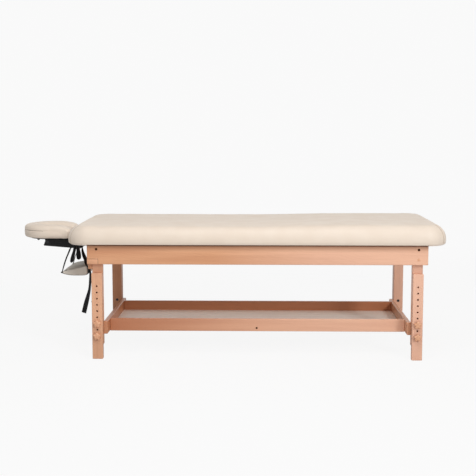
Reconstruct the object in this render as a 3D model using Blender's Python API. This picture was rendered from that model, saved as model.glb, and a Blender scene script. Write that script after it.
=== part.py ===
"""A wooden massage table with two-piece legs, a shelf tray, a headrest and an arm sling.

Metres. +Z is up, +X points to the foot end and the front long side faces -Y.
Every size below is measured from the middle of the frame on the floor. One empty then
carries the whole table, so that the world origin lies under the middle of its box.
"""
import math

import bmesh
import bpy
from mathutils import Matrix, Vector

for old_object in list(bpy.data.objects):
    bpy.data.objects.remove(old_object, do_unlink=True)

# Ends and sides
HEAD, FOOT = -1, 1
FRONT, BACK = -1, 1
END_NAMES = {HEAD: "head", FOOT: "foot"}
SIDE_NAMES = {FRONT: "front", BACK: "back"}

# Fits shared by all pieces
CLEARANCE = 0.0003
OVERRUN = 0.004
EASE = 0.002
SMOOTHING_ANGLE = math.radians(32)

# Frame of beech boards
FRAME_LENGTH = 1.610
FRAME_DEPTH = 0.720
BOARD_THICKNESS = 0.0285
APRON_BOTTOM = 0.457
APRON_HEIGHT = 0.0894
END_APRON_THICKNESS = 0.0192
HEAD_APRON_DROP = 0.027
BATTEN_COUNT = 3
BATTEN_SPACING = 0.420
BATTEN_WIDTH = 0.040
BATTEN_HEIGHT = 0.028

# Legs, each an upper board on the frame and a lower board that slides down outside it
LEG_WIDTH = 0.050
LOWER_LEG_TOP_DROP = 0.043
UPPER_LEG_BOTTOM = 0.065
HOLE_COUNT = 9
HOLE_PITCH = 0.030
LOWEST_HOLE_HEIGHT = 0.112
BOLTED_HOLES = (0, 2)

# Bolts with lobed wooden knobs that clamp the two leg boards together
BOLT_RADIUS = 0.004
BOLT_SIDES = 12
BOLT_END_COVER = 0.003
KNOB_RADIUS = 0.0185
KNOB_LOBES = 5
KNOB_LOBE_DEPTH = 0.0050
KNOB_NECK_RADIUS = 0.0105
KNOB_NECK_LENGTH = 0.004
KNOB_THICKNESS = 0.018
KNOB_ROUNDING = 0.003
KNOB_SOCKET_DEPTH = 0.011
POINTS_PER_LOBE = 4

# Frame bolts, sunk into the long aprons over each leg
FRAME_BOLT_SINK_RADIUS = 0.0065
FRAME_BOLT_SINK_DEPTH = 0.010
UPPER_FRAME_BOLT_DROP = 0.0174
LOWER_FRAME_BOLT_RISE = 0.0250

# Cross rails and tray
RAIL_THICKNESS = 0.0197
RAIL_BOTTOM = 0.1167
RAIL_HEIGHT = 0.0608
TRAY_DEPTH = 0.511
TRAY_BOARD_THICKNESS = 0.020
TRAY_FLOOR_RISE = 0.0061
TRAY_FLOOR_THICKNESS = 0.006
TRAY_TONGUE_THICKNESS = 0.003
TRAY_GROOVE_DEPTH = 0.006

# Deck board and table cushion
CUSHION_HEAD_OVERHANG = 0.107
CUSHION_FOOT_OVERHANG = 0.101
CUSHION_SIDE_OVERHANG = 0.0175
CUSHION_CORNER = 0.110
CUSHION_WIDEST_RISE = 0.027
CUSHION_EDGE_RISE = 0.0895
CUSHION_CROWN = 0.0045
CUSHION_CROWN_RUN = 0.190
CUSHION_END_ROUND = 0.062
CUSHION_SIDE_ROUND = 0.044
CUSHION_TUCK = 0.007
DECK_INSET = 0.016
DECK_THICKNESS = 0.012
CORNER_STEPS = 6
ROUND_STEPS = 5
CROWN_STEPS = 3

# Headrest base: a crossbar on two posts that slide in the head apron
POST_RADIUS = 0.0085
POST_SIDES = 24
POST_OFFSET = 0.025
POST_INSERTION = 0.165
HEADREST_AXIS_DROP = 0.0214
SOCKET_WALL = 0.003
SOCKET_FLANGE = 0.004
SOCKET_FLANGE_THICKNESS = 0.003
CROSSBAR_THICKNESS = 0.018
CROSSBAR_HEIGHT = 0.032
CROSSBAR_WALL = 0.004
CROSSBAR_EASE = 0.003
HINGE_SETBACK = 0.010
HINGE_REACH = 0.018
HINGE_ROD_RADIUS = 0.004
HINGE_SIDES = 16
EAR_RADIUS = 0.012
EAR_THICKNESS = 0.014

# Headrest arms, their tilt pins and the spacer between them
ARM_LENGTH = 0.143
ARM_RISE = 0.0075
ARM_THICKNESS = 0.012
ARM_HINGE_RADIUS = 0.0165
ARM_TIP_RADIUS = 0.0145
ARM_EASE = 0.0012
ARM_HEEL_REACH = 0.010
ARM_HEEL_DROP = 0.0125
ARM_HEEL_RADIUS = 0.010
ARM_TOE_REACH = 0.0165
ARM_TOE_DROP = 0.0142
ARM_TOE_RADIUS = 0.004
BELT_STEPS = 24
ARM_GROOVE_HALF_HEIGHT = 0.0030
ARM_GROOVE_DEPTH = 0.0020
ARM_GROOVE_OFFSET = 0.0060
PIN_HEAD_RADIUS = 0.0075
PIN_HEAD_THICKNESS = 0.003
SPACER_REACH = 0.043
SPACER_RISE = 0.003
SPACER_RADIUS = 0.005

# Cam levers on the hinge rod
LEVER_EASE = 0.0015
ARM_LEVER_WIDTH = 0.018
ARM_LEVER_HUB_RADIUS = 0.0095
ARM_LEVER_TIP_RADIUS = 0.0050
ARM_LEVER_REACH = 0.026
ARM_LEVER_DROP = 0.098
POST_LEVER_WIDTH = 0.018
POST_LEVER_HUB_RADIUS = 0.0100
POST_LEVER_TIP_RADIUS = 0.0105
POST_LEVER_REACH = -0.006
POST_LEVER_DROP = 0.065

# Horseshoe platform and face cushion
PLATFORM_THICKNESS = 0.006
PLATFORM_ARM_GAP = 0.0005
PLATFORM_OUTER_MARGIN = 0.030
PLATFORM_GAP_MARGIN = 0.006
PLATFORM_INNER_MARGIN = 0.014
PLATFORM_EASE = 0.001
PLATFORM_END_ROUND = 0.012
LUG_RADIUS = 0.0135
LUG_SHOULDER_REACH = 0.0145
LUG_SHOULDER_RADIUS = 0.003
FACE_CUSHION_GAP = 0.010
FACE_LENGTH = 0.2585
FACE_HALF_WIDTH = 0.140
FACE_GAP_HALF_WIDTH = 0.050
FACE_HEIGHT = 0.0645
FACE_END_ROUND = 0.026
FACE_END_SLOPE = 0.100
FACE_END_DROP = 0.018
BEND_STEPS = 12
LEG_STEPS = 4
END_ROUND_STEPS = 3
# Shares of the pad's half width, outward, and of its height, with the seam as a narrow valley
FACE_SECTION_SHARES = (
    (-0.60, 0.00), (0.60, 0.00), (0.86, 0.05), (0.97, 0.17), (1.00, 0.40), (0.955, 0.44),
    (1.00, 0.48), (1.00, 0.64), (0.95, 0.80), (0.80, 0.93), (0.45, 1.00), (0.00, 1.00),
    (-0.45, 0.99), (-0.78, 0.91), (-0.95, 0.76), (-1.00, 0.55), (-1.00, 0.30), (-0.86, 0.06),
)

# Arm sling: a pad in two straps under the headrest base
PAD_REACH = 0.061
PAD_HANG = 0.152
PAD_WIDTH = 0.127
PAD_END = 0.016
PAD_HEIGHT = 0.060
PAD_CROWN = 0.010
# Shares of the pad's width, from its head edge, and of its height: first along its underside and up
# its foot side, where the straps lie, and then back over its top
PAD_STRAPPED_SHARES = (
    (0.000, 0.27), (0.015, 0.19), (0.075, 0.13), (0.23, 0.05), (0.42, 0.005), (0.68, 0.00), (0.88, 0.02),
    (0.965, 0.08), (1.00, 0.19), (1.00, 0.60), (0.975, 0.75), (0.935, 0.87),
)
PAD_TOP_SHARES = (
    (0.885, 0.94), (0.83, 0.935), (0.785, 0.84), (0.73, 0.72), (0.64, 0.63), (0.49, 0.55), (0.30, 0.47),
    (0.15, 0.40), (0.04, 0.345),
)
# Shares of the pad's half length, and of its section's size there
PAD_END_SHARES = ((0.91, 1.00), (0.97, 0.96), (1.00, 0.87))
PAD_STATIONS = 6
STRAP_WIDTH = 0.025
STRAP_THICKNESS = 0.0018
STRAP_GAP = 0.0119
STRAP_MARGIN = 0.0085
STRAP_STEPS = 3
STRAP_TWIST = math.radians(38)
LOOP_STEPS = 9
LOOP_TAIL = 0.014
# The straps' ways down to the pad, as shares of the distance across, of the drop and of the twist
FRONT_STRAP_SHARES = (
    (0.27, 0.07, 0.1), (0.42, 0.18, 0.3), (0.62, 0.45, 0.4), (0.81, 0.73, 0.2), (0.94, 0.92, 0.0),
)
REAR_STRAP_SHARES = (
    (0.03, 0.10, 0.2), (0.14, 0.28, 0.6), (0.40, 0.47, 1.0), (0.82, 0.68, 0.9), (0.93, 0.88, 0.2),
)
BUCKLE_WIDTH = 0.031
BUCKLE_HEIGHT = 0.024
BUCKLE_THICKNESS = 0.005
BUCKLE_RISE = 0.0243
BUCKLE_SLOT_HEIGHT = 0.004
BUCKLE_SLOT_SPACING = 0.009
BUCKLE_EASE = 0.0008
# The loose end's way down from the buckle, as shares of its sway, its drop and its twist
TAIL_ROUTE_SHARES = (
    (0.00, 0.00, 0.00), (0.00, 0.06, 0.00), (0.02, 0.12, 0.02), (-0.07, 0.25, 0.50), (-0.16, 0.44, 0.50),
    (-0.24, 0.56, 0.62), (-0.45, 0.78, 0.95), (-0.70, 1.00, 1.00),
)
TAIL_LENGTH = 0.226
TAIL_SWAY = 0.050
TAIL_TWIST = math.radians(72)
TAIL_STEPS = 3

# Colour, roughness and metallic of each finish
BEECH = ((0.740, 0.430, 0.255), 0.36, 0.0)
BEECH_DARK = ((0.620, 0.330, 0.180), 0.42, 0.0)
PLYWOOD = ((0.640, 0.480, 0.330), 0.55, 0.0)
VINYL = ((0.800, 0.700, 0.580), 0.45, 0.0)
GREY_VINYL = ((0.420, 0.385, 0.335), 0.55, 0.0)
BLACK_PLASTIC = ((0.016, 0.016, 0.018), 0.38, 0.0)
BLACK_STEEL = ((0.020, 0.020, 0.022), 0.32, 0.6)
STEEL = ((0.560, 0.560, 0.570), 0.28, 1.0)
WEBBING = ((0.012, 0.012, 0.013), 0.85, 0.0)


def bore_radius(radius, sides):
    """The radius of a bore whose flats clear a bar of the given radius."""
    return (radius + CLEARANCE) / math.cos(math.pi / sides)


# Places worked out from the sizes above
APRON_TOP = APRON_BOTTOM + APRON_HEIGHT
FRAME_END = FRAME_LENGTH / 2
FRAME_FACE = FRAME_DEPTH / 2
INNER_FACE = FRAME_FACE - BOARD_THICKNESS
UPPER_LEG_OUTER = INNER_FACE - CLEARANCE
UPPER_LEG_INNER = UPPER_LEG_OUTER - BOARD_THICKNESS
LEG_OUTER_X = FRAME_END - END_APRON_THICKNESS - CLEARANCE
LEG_INNER_X = LEG_OUTER_X - LEG_WIDTH
LEG_X = LEG_OUTER_X - LEG_WIDTH / 2
RAIL_OUTER_X = LEG_INNER_X - CLEARANCE
RAIL_INNER_X = RAIL_OUTER_X - RAIL_THICKNESS
LOWER_LEG_LENGTH = APRON_BOTTOM - LOWER_LEG_TOP_DROP
CUSHION_BOTTOM = APRON_TOP + CLEARANCE
CUSHION_HEAD_END = FRAME_END + CUSHION_HEAD_OVERHANG
CUSHION_FOOT_END = FRAME_END + CUSHION_FOOT_OVERHANG
CUSHION_MIDDLE = (CUSHION_FOOT_END - CUSHION_HEAD_END) / 2
CUSHION_SIDE = FRAME_FACE + CUSHION_SIDE_OVERHANG
POST_HEIGHT = APRON_TOP - HEADREST_AXIS_DROP
HINGE = Vector((HINGE_SETBACK - CUSHION_HEAD_END, 0, POST_HEIGHT))
TILT = HINGE + Vector((-ARM_LENGTH, 0, ARM_RISE))
CROSSBAR_FRONT = HINGE.x + HINGE_REACH
CROSSBAR_BACK = CROSSBAR_FRONT + CROSSBAR_THICKNESS
CROSSBAR_BOTTOM = POST_HEIGHT - CROSSBAR_HEIGHT / 2
POST_SEAT = CROSSBAR_FRONT + CROSSBAR_WALL
PLATFORM_HALF_WIDTH = FACE_HALF_WIDTH - PLATFORM_OUTER_MARGIN
PLATFORM_GAP_HALF_WIDTH = FACE_GAP_HALF_WIDTH + PLATFORM_GAP_MARGIN
EAR_OUTER = (PLATFORM_HALF_WIDTH + PLATFORM_GAP_HALF_WIDTH + EAR_THICKNESS) / 2
EAR_INNER = EAR_OUTER - EAR_THICKNESS
POST_SPREAD = EAR_OUTER + POST_OFFSET
ARM_INNER = EAR_OUTER + CLEARANCE
ARM_OUTER = ARM_INNER + ARM_THICKNESS
FACE_INNER_END = CUSHION_HEAD_END + FACE_CUSHION_GAP
FACE_OUTER_END = FACE_INNER_END + FACE_LENGTH
FACE_BEND_X = FACE_OUTER_END - FACE_HALF_WIDTH
PLATFORM_BOTTOM = TILT.z + ARM_TIP_RADIUS + PLATFORM_ARM_GAP
FACE_BOTTOM = PLATFORM_BOTTOM + PLATFORM_THICKNESS + CLEARANCE
PAD_BOTTOM = HINGE.z - PAD_HANG
PAD_HEAD_EDGE = HINGE.x - PAD_REACH
PAD_FOOT_EDGE = PAD_HEAD_EDGE + PAD_WIDTH
HINGE_BORE = bore_radius(HINGE_ROD_RADIUS, HINGE_SIDES)
STRAP_SPREAD = ARM_OUTER + CLEARANCE + ARM_LEVER_WIDTH + STRAP_GAP + STRAP_WIDTH / 2
CROSSBAR_HALF_WIDTH = STRAP_SPREAD + STRAP_WIDTH / 2 + STRAP_MARGIN

# The empty that sets the world origin under the middle of the table's box
table = bpy.data.objects.new("table", None)
bpy.context.collection.objects.link(table)
table.location.x = (FACE_OUTER_END - CUSHION_FOOT_END) / 2


def add(name, shape, look, pivot=(0, 0, 0)):
    """Make a named piece from a bmesh in table coordinates, with its origin at pivot."""
    bmesh.ops.translate(shape, verts=shape.verts, vec=-Vector(pivot))
    bmesh.ops.recalc_face_normals(shape, faces=shape.faces)
    mesh = bpy.data.meshes.new(name)
    shape.to_mesh(mesh)
    shape.free()
    mesh.shade_smooth()
    mesh.set_sharp_from_angle(angle=SMOOTHING_ANGLE)
    piece = bpy.data.objects.new(name, mesh)
    bpy.context.collection.objects.link(piece)
    piece.parent = table
    piece.location = pivot
    colour, roughness, metallic = look
    material = bpy.data.materials.new(name)
    material.use_nodes = True
    surface = material.node_tree.nodes["Principled BSDF"]
    surface.inputs["Base Color"].default_value = (*colour, 1)
    surface.inputs["Roughness"].default_value = roughness
    surface.inputs["Metallic"].default_value = metallic
    mesh.materials.append(material)
    return piece


def combine(piece, shape, operation):
    """Cut a bmesh out of a piece, or join one to it, by a Boolean with a hidden helper."""
    mesh = bpy.data.meshes.new(piece.name + "_helper")
    bmesh.ops.recalc_face_normals(shape, faces=shape.faces)
    shape.to_mesh(mesh)
    shape.free()
    helper = bpy.data.objects.new(mesh.name, mesh)
    bpy.context.collection.objects.link(helper)
    helper.parent = table
    helper.hide_render = True
    helper.display_type = 'WIRE'
    boolean = piece.modifiers.new(operation.title(), 'BOOLEAN')
    boolean.operation = operation
    boolean.object = helper


def cut(piece, *shapes):
    """Cut one or more separate bmeshes out of a piece."""
    combine(piece, gather(shapes), 'DIFFERENCE')


def join(piece, shape):
    """Join one bmesh to a piece."""
    combine(piece, shape, 'UNION')


def gather(shapes):
    """Put several bmeshes that don't touch into one."""
    whole = bmesh.new()
    for shape in shapes:
        loose = bpy.data.meshes.new("loose")
        shape.to_mesh(loose)
        shape.free()
        whole.from_mesh(loose)
        bpy.data.meshes.remove(loose)
    return whole


def block(low, high, ease=0):
    """A box between two corners, with its edges eased."""
    low, high = Vector(low), Vector(high)
    shape = bmesh.new()
    bmesh.ops.create_cube(shape, size=1, matrix=Matrix.LocRotScale((low + high) / 2, None, high - low))
    if ease:
        bmesh.ops.bevel(shape, geom=shape.edges[:], offset=ease, segments=1, affect='EDGES')
    return shape


def rod(start, end, radius, sides):
    """A round bar between two points."""
    start, end = Vector(start), Vector(end)
    turn = (end - start).to_track_quat('Z', 'X').to_matrix().to_4x4()
    shape = bmesh.new()
    bmesh.ops.create_cone(shape, cap_ends=True, segments=sides, radius1=radius, radius2=radius,
                          depth=(end - start).length, matrix=Matrix.Translation((start + end) / 2) @ turn)
    return shape


def loft(rings):
    """A closed skin through rings of points, with a flat face on the first and the last."""
    shape = bmesh.new()
    rows = [[shape.verts.new(point) for point in ring] for ring in rings]
    count = len(rows[0])
    for lower, upper in zip(rows, rows[1:]):
        for i in range(count):
            j = (i + 1) % count
            shape.faces.new((lower[i], lower[j], upper[j], upper[i]))
    shape.faces.new(rows[0])
    shape.faces.new(rows[-1])
    return shape


def belt(circles, inset):
    """The outline, as (x, z), of a belt run round circles that are each (x, z, radius)."""
    outline = []
    for i in range(BELT_STEPS):
        angle = math.tau * i / BELT_STEPS
        across, up = math.cos(angle), math.sin(angle)
        x, z, radius = max(circles, key=lambda circle: circle[0] * across + circle[1] * up + circle[2])
        outline.append((x + across * (radius - inset), z + up * (radius - inset)))
    return outline


def bar(circles, low, high, ease=0):
    """A flat bar with the outline of a belt round circles, between two Y values, its edges eased."""
    stations = [(low, ease), (high, ease)]
    if ease:
        stations[1:1] = [(low + ease, 0), (high - ease, 0)]
    return loft([[(x, y, z) for x, z in belt(circles, inset)] for y, inset in stations])


def rounded_rectangle(half_x, half_y, radius_x, radius_y, z, centre_x):
    """A ring of points round a rectangle whose corners are quarter ellipses."""
    ring = []
    for quarter, (sign_x, sign_y) in enumerate(((1, 1), (-1, 1), (-1, -1), (1, -1))):
        for i in range(CORNER_STEPS + 1):
            angle = math.pi / 2 * (quarter + i / CORNER_STEPS)
            ring.append((centre_x + sign_x * (half_x - radius_x) + radius_x * math.cos(angle),
                         sign_y * (half_y - radius_y) + radius_y * math.sin(angle), z))
    return ring


def quarter_turn(steps):
    """The sines and cosines of a quarter turn in equal steps, without its start."""
    angles = [math.pi / 2 * i / steps for i in range(1, steps + 1)]
    return [(math.sin(angle), math.cos(angle)) for angle in angles]


def smooth_path(points, steps):
    """A Catmull-Rom curve through points of any dimension."""
    points = [Vector(point) for point in points]
    padded = [points[0] * 2 - points[1], *points, points[-1] * 2 - points[-2]]
    path = []
    for a, b, c, d in zip(padded, padded[1:], padded[2:], padded[3:]):
        for i in range(steps):
            t = i / steps
            path.append((b * 2 + (c - a) * t + (a * 2 - b * 5 + c * 4 - d) * t ** 2
                         + (b * 3 - a - c * 3 + d) * t ** 3) / 2)
    return path + [points[-1]]


def build_aprons():
    """Two long aprons in the plane of the lower legs and two end aprons between them."""
    for side in (FRONT, BACK):
        faces = sorted((side * FRAME_FACE, side * INNER_FACE))
        board = block((-FRAME_END, faces[0], APRON_BOTTOM), (FRAME_END, faces[1], APRON_TOP), EASE)
        apron = add("apron_" + SIDE_NAMES[side], board, BEECH)
        sinks = []
        for end in (HEAD, FOOT):
            for z in (APRON_TOP - UPPER_FRAME_BOLT_DROP, APRON_BOTTOM + LOWER_FRAME_BOLT_RISE):
                sinks.append(rod((end * LEG_X, side * (FRAME_FACE + OVERRUN), z),
                                 (end * LEG_X, side * (FRAME_FACE - FRAME_BOLT_SINK_DEPTH), z),
                                 FRAME_BOLT_SINK_RADIUS, BOLT_SIDES))
        cut(apron, *sinks)
    for end in (HEAD, FOOT):
        ends = sorted((end * FRAME_END, end * (FRAME_END - END_APRON_THICKNESS)))
        bottom = APRON_BOTTOM - (HEAD_APRON_DROP if end == HEAD else 0)
        board = block((ends[0], -UPPER_LEG_OUTER, bottom), (ends[1], UPPER_LEG_OUTER, APRON_TOP), EASE)
        apron = add("apron_" + END_NAMES[end], board, BEECH)
        if end == HEAD:
            cut(apron, *[rod((-FRAME_END - OVERRUN, side * POST_SPREAD, POST_HEIGHT),
                             (-FRAME_END + END_APRON_THICKNESS + OVERRUN, side * POST_SPREAD, POST_HEIGHT),
                             bore_radius(socket_radius(), POST_SIDES), POST_SIDES) for side in (FRONT, BACK)])


def build_battens():
    """Cross battens let in between the long aprons, flush with their top, under the deck."""
    for i in range(BATTEN_COUNT):
        x = (i - (BATTEN_COUNT - 1) / 2) * BATTEN_SPACING
        add(f"deck_batten_{i + 1}",
            block((x - BATTEN_WIDTH / 2, -UPPER_LEG_OUTER, APRON_TOP - BATTEN_HEIGHT),
                  (x + BATTEN_WIDTH / 2, UPPER_LEG_OUTER, APRON_TOP), EASE), BEECH_DARK)


def build_legs():
    """Four legs, each an upper board behind the apron and a drilled lower board outside it."""
    for end in (HEAD, FOOT):
        for side in (FRONT, BACK):
            corner = f"{END_NAMES[end]}_{SIDE_NAMES[side]}"
            left, right = sorted((end * LEG_INNER_X, end * LEG_OUTER_X))
            near, far = sorted((side * UPPER_LEG_INNER, side * UPPER_LEG_OUTER))
            upper = add("upper_leg_" + corner,
                        block((left, near, UPPER_LEG_BOTTOM), (right, far, APRON_TOP), EASE), BEECH)
            near, far = sorted((side * INNER_FACE, side * FRAME_FACE))
            lower = add("lower_leg_" + corner,
                        block((left, near, 0), (right, far, LOWER_LEG_LENGTH), EASE), BEECH,
                        pivot=(end * LEG_X, side * (FRAME_FACE - BOARD_THICKNESS / 2), 0))
            hole = bore_radius(BOLT_RADIUS, BOLT_SIDES)
            heights = [LOWEST_HOLE_HEIGHT + HOLE_PITCH * i for i in range(HOLE_COUNT)]
            x, near, far = end * LEG_X, side * (INNER_FACE - OVERRUN), side * (FRAME_FACE + OVERRUN)
            cut(lower, *[rod((x, near, z), (x, far, z), hole, BOLT_SIDES) for z in heights])
            near, far = side * (UPPER_LEG_INNER - OVERRUN), side * (UPPER_LEG_OUTER + OVERRUN)
            cut(upper, *[rod((x, near, heights[i]), (x, far, heights[i]), hole, BOLT_SIDES)
                         for i in BOLTED_HOLES])
            for i in BOLTED_HOLES:
                build_knob_and_bolt(f"{corner}_{i + 1}", x, side, heights[i])


def build_knob_and_bolt(name, x, side, z):
    """A lobed wooden knob against the lower leg, and its bolt through both leg boards."""
    count = KNOB_LOBES * POINTS_PER_LOBE

    def ring(distance, radius, lobe_depth):
        points = []
        for i in range(count):
            angle = math.tau * i / count
            reach = radius - lobe_depth * (1 - math.cos(KNOB_LOBES * angle)) / 2
            points.append((x + reach * math.sin(angle), side * (FRAME_FACE + CLEARANCE + distance),
                           z + reach * math.cos(angle)))
        return points

    socket = bore_radius(BOLT_RADIUS, count)
    inset = KNOB_RADIUS - KNOB_ROUNDING
    knob = loft([
        ring(KNOB_SOCKET_DEPTH, socket, 0),
        ring(0, socket, 0),
        ring(0, KNOB_NECK_RADIUS, 0),
        ring(KNOB_NECK_LENGTH, KNOB_NECK_RADIUS, 0),
        ring(KNOB_NECK_LENGTH + KNOB_ROUNDING / 2, KNOB_RADIUS, KNOB_LOBE_DEPTH),
        ring(KNOB_THICKNESS - KNOB_ROUNDING, KNOB_RADIUS, KNOB_LOBE_DEPTH),
        ring(KNOB_THICKNESS, inset, KNOB_LOBE_DEPTH),
    ])
    axis_point = (x, side * FRAME_FACE, z)
    add("leg_knob_" + name, knob, BEECH, pivot=axis_point)
    bolt = rod((x, side * (FRAME_FACE + KNOB_SOCKET_DEPTH), z),
               (x, side * (UPPER_LEG_INNER + BOLT_END_COVER), z), BOLT_RADIUS, BOLT_SIDES)
    add("leg_bolt_" + name, bolt, STEEL, pivot=axis_point)


def build_tray():
    """A cross rail inside each pair of legs, and between them the tray's boards and tongued floor."""
    top = RAIL_BOTTOM + RAIL_HEIGHT
    for end in (HEAD, FOOT):
        left, right = sorted((end * RAIL_INNER_X, end * RAIL_OUTER_X))
        add("cross_rail_" + END_NAMES[end],
            block((left, -UPPER_LEG_OUTER, RAIL_BOTTOM), (right, UPPER_LEG_OUTER, top), EASE), BEECH)
    length = RAIL_INNER_X - CLEARANCE
    outer = TRAY_DEPTH / 2
    inner = outer - TRAY_BOARD_THICKNESS
    floor_bottom = RAIL_BOTTOM + TRAY_FLOOR_RISE
    tongue_top = floor_bottom + TRAY_TONGUE_THICKNESS
    floor_top = floor_bottom + TRAY_FLOOR_THICKNESS
    for side in (FRONT, BACK):
        near, far = sorted((side * inner, side * outer))
        board = add(f"tray_board_{SIDE_NAMES[side]}",
                    block((-length, near, RAIL_BOTTOM), (length, far, top), EASE), BEECH)
        near, far = sorted((side * (inner - OVERRUN), side * (inner + TRAY_GROOVE_DEPTH)))
        cut(board, block((-length - OVERRUN, near, floor_bottom - CLEARANCE),
                         (length + OVERRUN, far, tongue_top + CLEARANCE)))
    reach = inner + TRAY_GROOVE_DEPTH - CLEARANCE
    floor = add("tray_floor", block((-length, -reach, floor_bottom), (length, reach, floor_top)), PLYWOOD)
    rebates = []
    for side in (FRONT, BACK):
        near, far = sorted((side * (inner - CLEARANCE), side * (reach + OVERRUN)))
        rebates.append(block((-length - OVERRUN, near, tongue_top),
                             (length + OVERRUN, far, floor_top + OVERRUN)))
    cut(floor, *rebates)


def build_deck_and_cushion():
    """The deck board on the frame, and the crowned cushion that wraps down round it."""
    half_x, half_y = (CUSHION_HEAD_END + CUSHION_FOOT_END) / 2, CUSHION_SIDE
    deck_top = CUSHION_BOTTOM + DECK_THICKNESS
    deck_x, deck_y, deck_corner = half_x - DECK_INSET, half_y - DECK_INSET, CUSHION_CORNER - DECK_INSET
    add("deck_board",
        loft([rounded_rectangle(deck_x, deck_y, deck_corner, deck_corner, z, CUSHION_MIDDLE)
              for z in (CUSHION_BOTTOM, deck_top)]), PLYWOOD)

    def ring(inset_x, inset_y, z):
        return rounded_rectangle(half_x - inset_x, half_y - inset_y, CUSHION_CORNER - inset_x,
                                 CUSHION_CORNER - inset_y, z, CUSHION_MIDDLE)

    rim = DECK_INSET - CLEARANCE
    widest = CUSHION_BOTTOM + CUSHION_WIDEST_RISE
    edge = CUSHION_BOTTOM + CUSHION_EDGE_RISE
    rings = [ring(rim, rim, deck_top + CLEARANCE), ring(rim, rim, CUSHION_BOTTOM)]
    for sine, cosine in quarter_turn(ROUND_STEPS):
        rings.append(ring(CUSHION_TUCK * (1 - sine), CUSHION_TUCK * (1 - sine),
                          widest - CUSHION_WIDEST_RISE * cosine))
    for sine, cosine in quarter_turn(ROUND_STEPS):
        rings.append(ring(CUSHION_END_ROUND * (1 - cosine), CUSHION_SIDE_ROUND * (1 - cosine),
                          widest + (edge - widest) * sine))
    top_x, top_y = half_x - CUSHION_END_ROUND, half_y - CUSHION_SIDE_ROUND
    corner_x, corner_y = CUSHION_CORNER - CUSHION_END_ROUND, CUSHION_CORNER - CUSHION_SIDE_ROUND
    for i in range(1, CROWN_STEPS + 1):
        run = CUSHION_CROWN_RUN * i / CROWN_STEPS
        shrink = (top_y - run) / top_y
        rise = CUSHION_CROWN * math.sin(math.pi / 2 * i / CROWN_STEPS)
        rings.append(rounded_rectangle(top_x - run, top_y - run, corner_x * shrink, corner_y * shrink,
                                       edge + rise, CUSHION_MIDDLE))
    add("table_cushion", loft(rings), VINYL)


def socket_radius():
    """The outer radius of a post socket."""
    return bore_radius(POST_RADIUS, POST_SIDES) + SOCKET_WALL


def build_post_and_socket(side):
    """A headrest post and the flanged socket in the head apron that it slides through."""
    y = side * POST_SPREAD
    outer_face = -FRAME_END - CLEARANCE
    inner_face = -FRAME_END + END_APRON_THICKNESS
    flange_face = outer_face - SOCKET_FLANGE_THICKNESS
    socket = add("post_socket_" + SIDE_NAMES[side],
                 rod((outer_face, y, POST_HEIGHT), (inner_face, y, POST_HEIGHT), socket_radius(), POST_SIDES),
                 BLACK_PLASTIC)
    join(socket, rod((flange_face, y, POST_HEIGHT), (outer_face, y, POST_HEIGHT),
                     socket_radius() + SOCKET_FLANGE, POST_SIDES))
    cut(socket, rod((flange_face - OVERRUN, y, POST_HEIGHT), (inner_face + OVERRUN, y, POST_HEIGHT),
                    bore_radius(POST_RADIUS, POST_SIDES), POST_SIDES))
    start = POST_SEAT + CLEARANCE
    add("headrest_post_" + SIDE_NAMES[side],
        rod((start, y, POST_HEIGHT), (POST_INSERTION - FRAME_END, y, POST_HEIGHT), POST_RADIUS, POST_SIDES),
        BLACK_STEEL)


def build_headrest_base():
    """The crossbar, bored for the posts, with an ear behind each arm and the hinge rod through the ears."""
    board = block((CROSSBAR_FRONT, -CROSSBAR_HALF_WIDTH, CROSSBAR_BOTTOM),
                  (CROSSBAR_BACK, CROSSBAR_HALF_WIDTH, CROSSBAR_BOTTOM + CROSSBAR_HEIGHT), CROSSBAR_EASE)
    crossbar = add("headrest_crossbar", board, BLACK_PLASTIC)
    for side in (FRONT, BACK):
        low, high = sorted((side * EAR_OUTER, side * EAR_INNER))
        circles = [(x, HINGE.z, EAR_RADIUS) for x in (HINGE.x, CROSSBAR_FRONT)]
        join(crossbar, bar(circles, low, high))
        y = side * POST_SPREAD
        cut(crossbar, rod((POST_SEAT, y, POST_HEIGHT), (CROSSBAR_BACK + OVERRUN, y, POST_HEIGHT),
                          bore_radius(POST_RADIUS, POST_SIDES), POST_SIDES))
        build_post_and_socket(side)
    cut(crossbar, cross_rod(HINGE, -CROSSBAR_HALF_WIDTH, CROSSBAR_HALF_WIDTH, HINGE_BORE))
    add("headrest_hinge_rod", cross_rod(HINGE, -CROSSBAR_HALF_WIDTH, CROSSBAR_HALF_WIDTH, HINGE_ROD_RADIUS),
        STEEL, pivot=HINGE)


def cross_rod(centre, low, high, radius):
    """A round bar across the headrest between two Y values, with its middle line through centre."""
    return rod((centre.x, low, centre.z), (centre.x, high, centre.z), radius, HINGE_SIDES)


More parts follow.
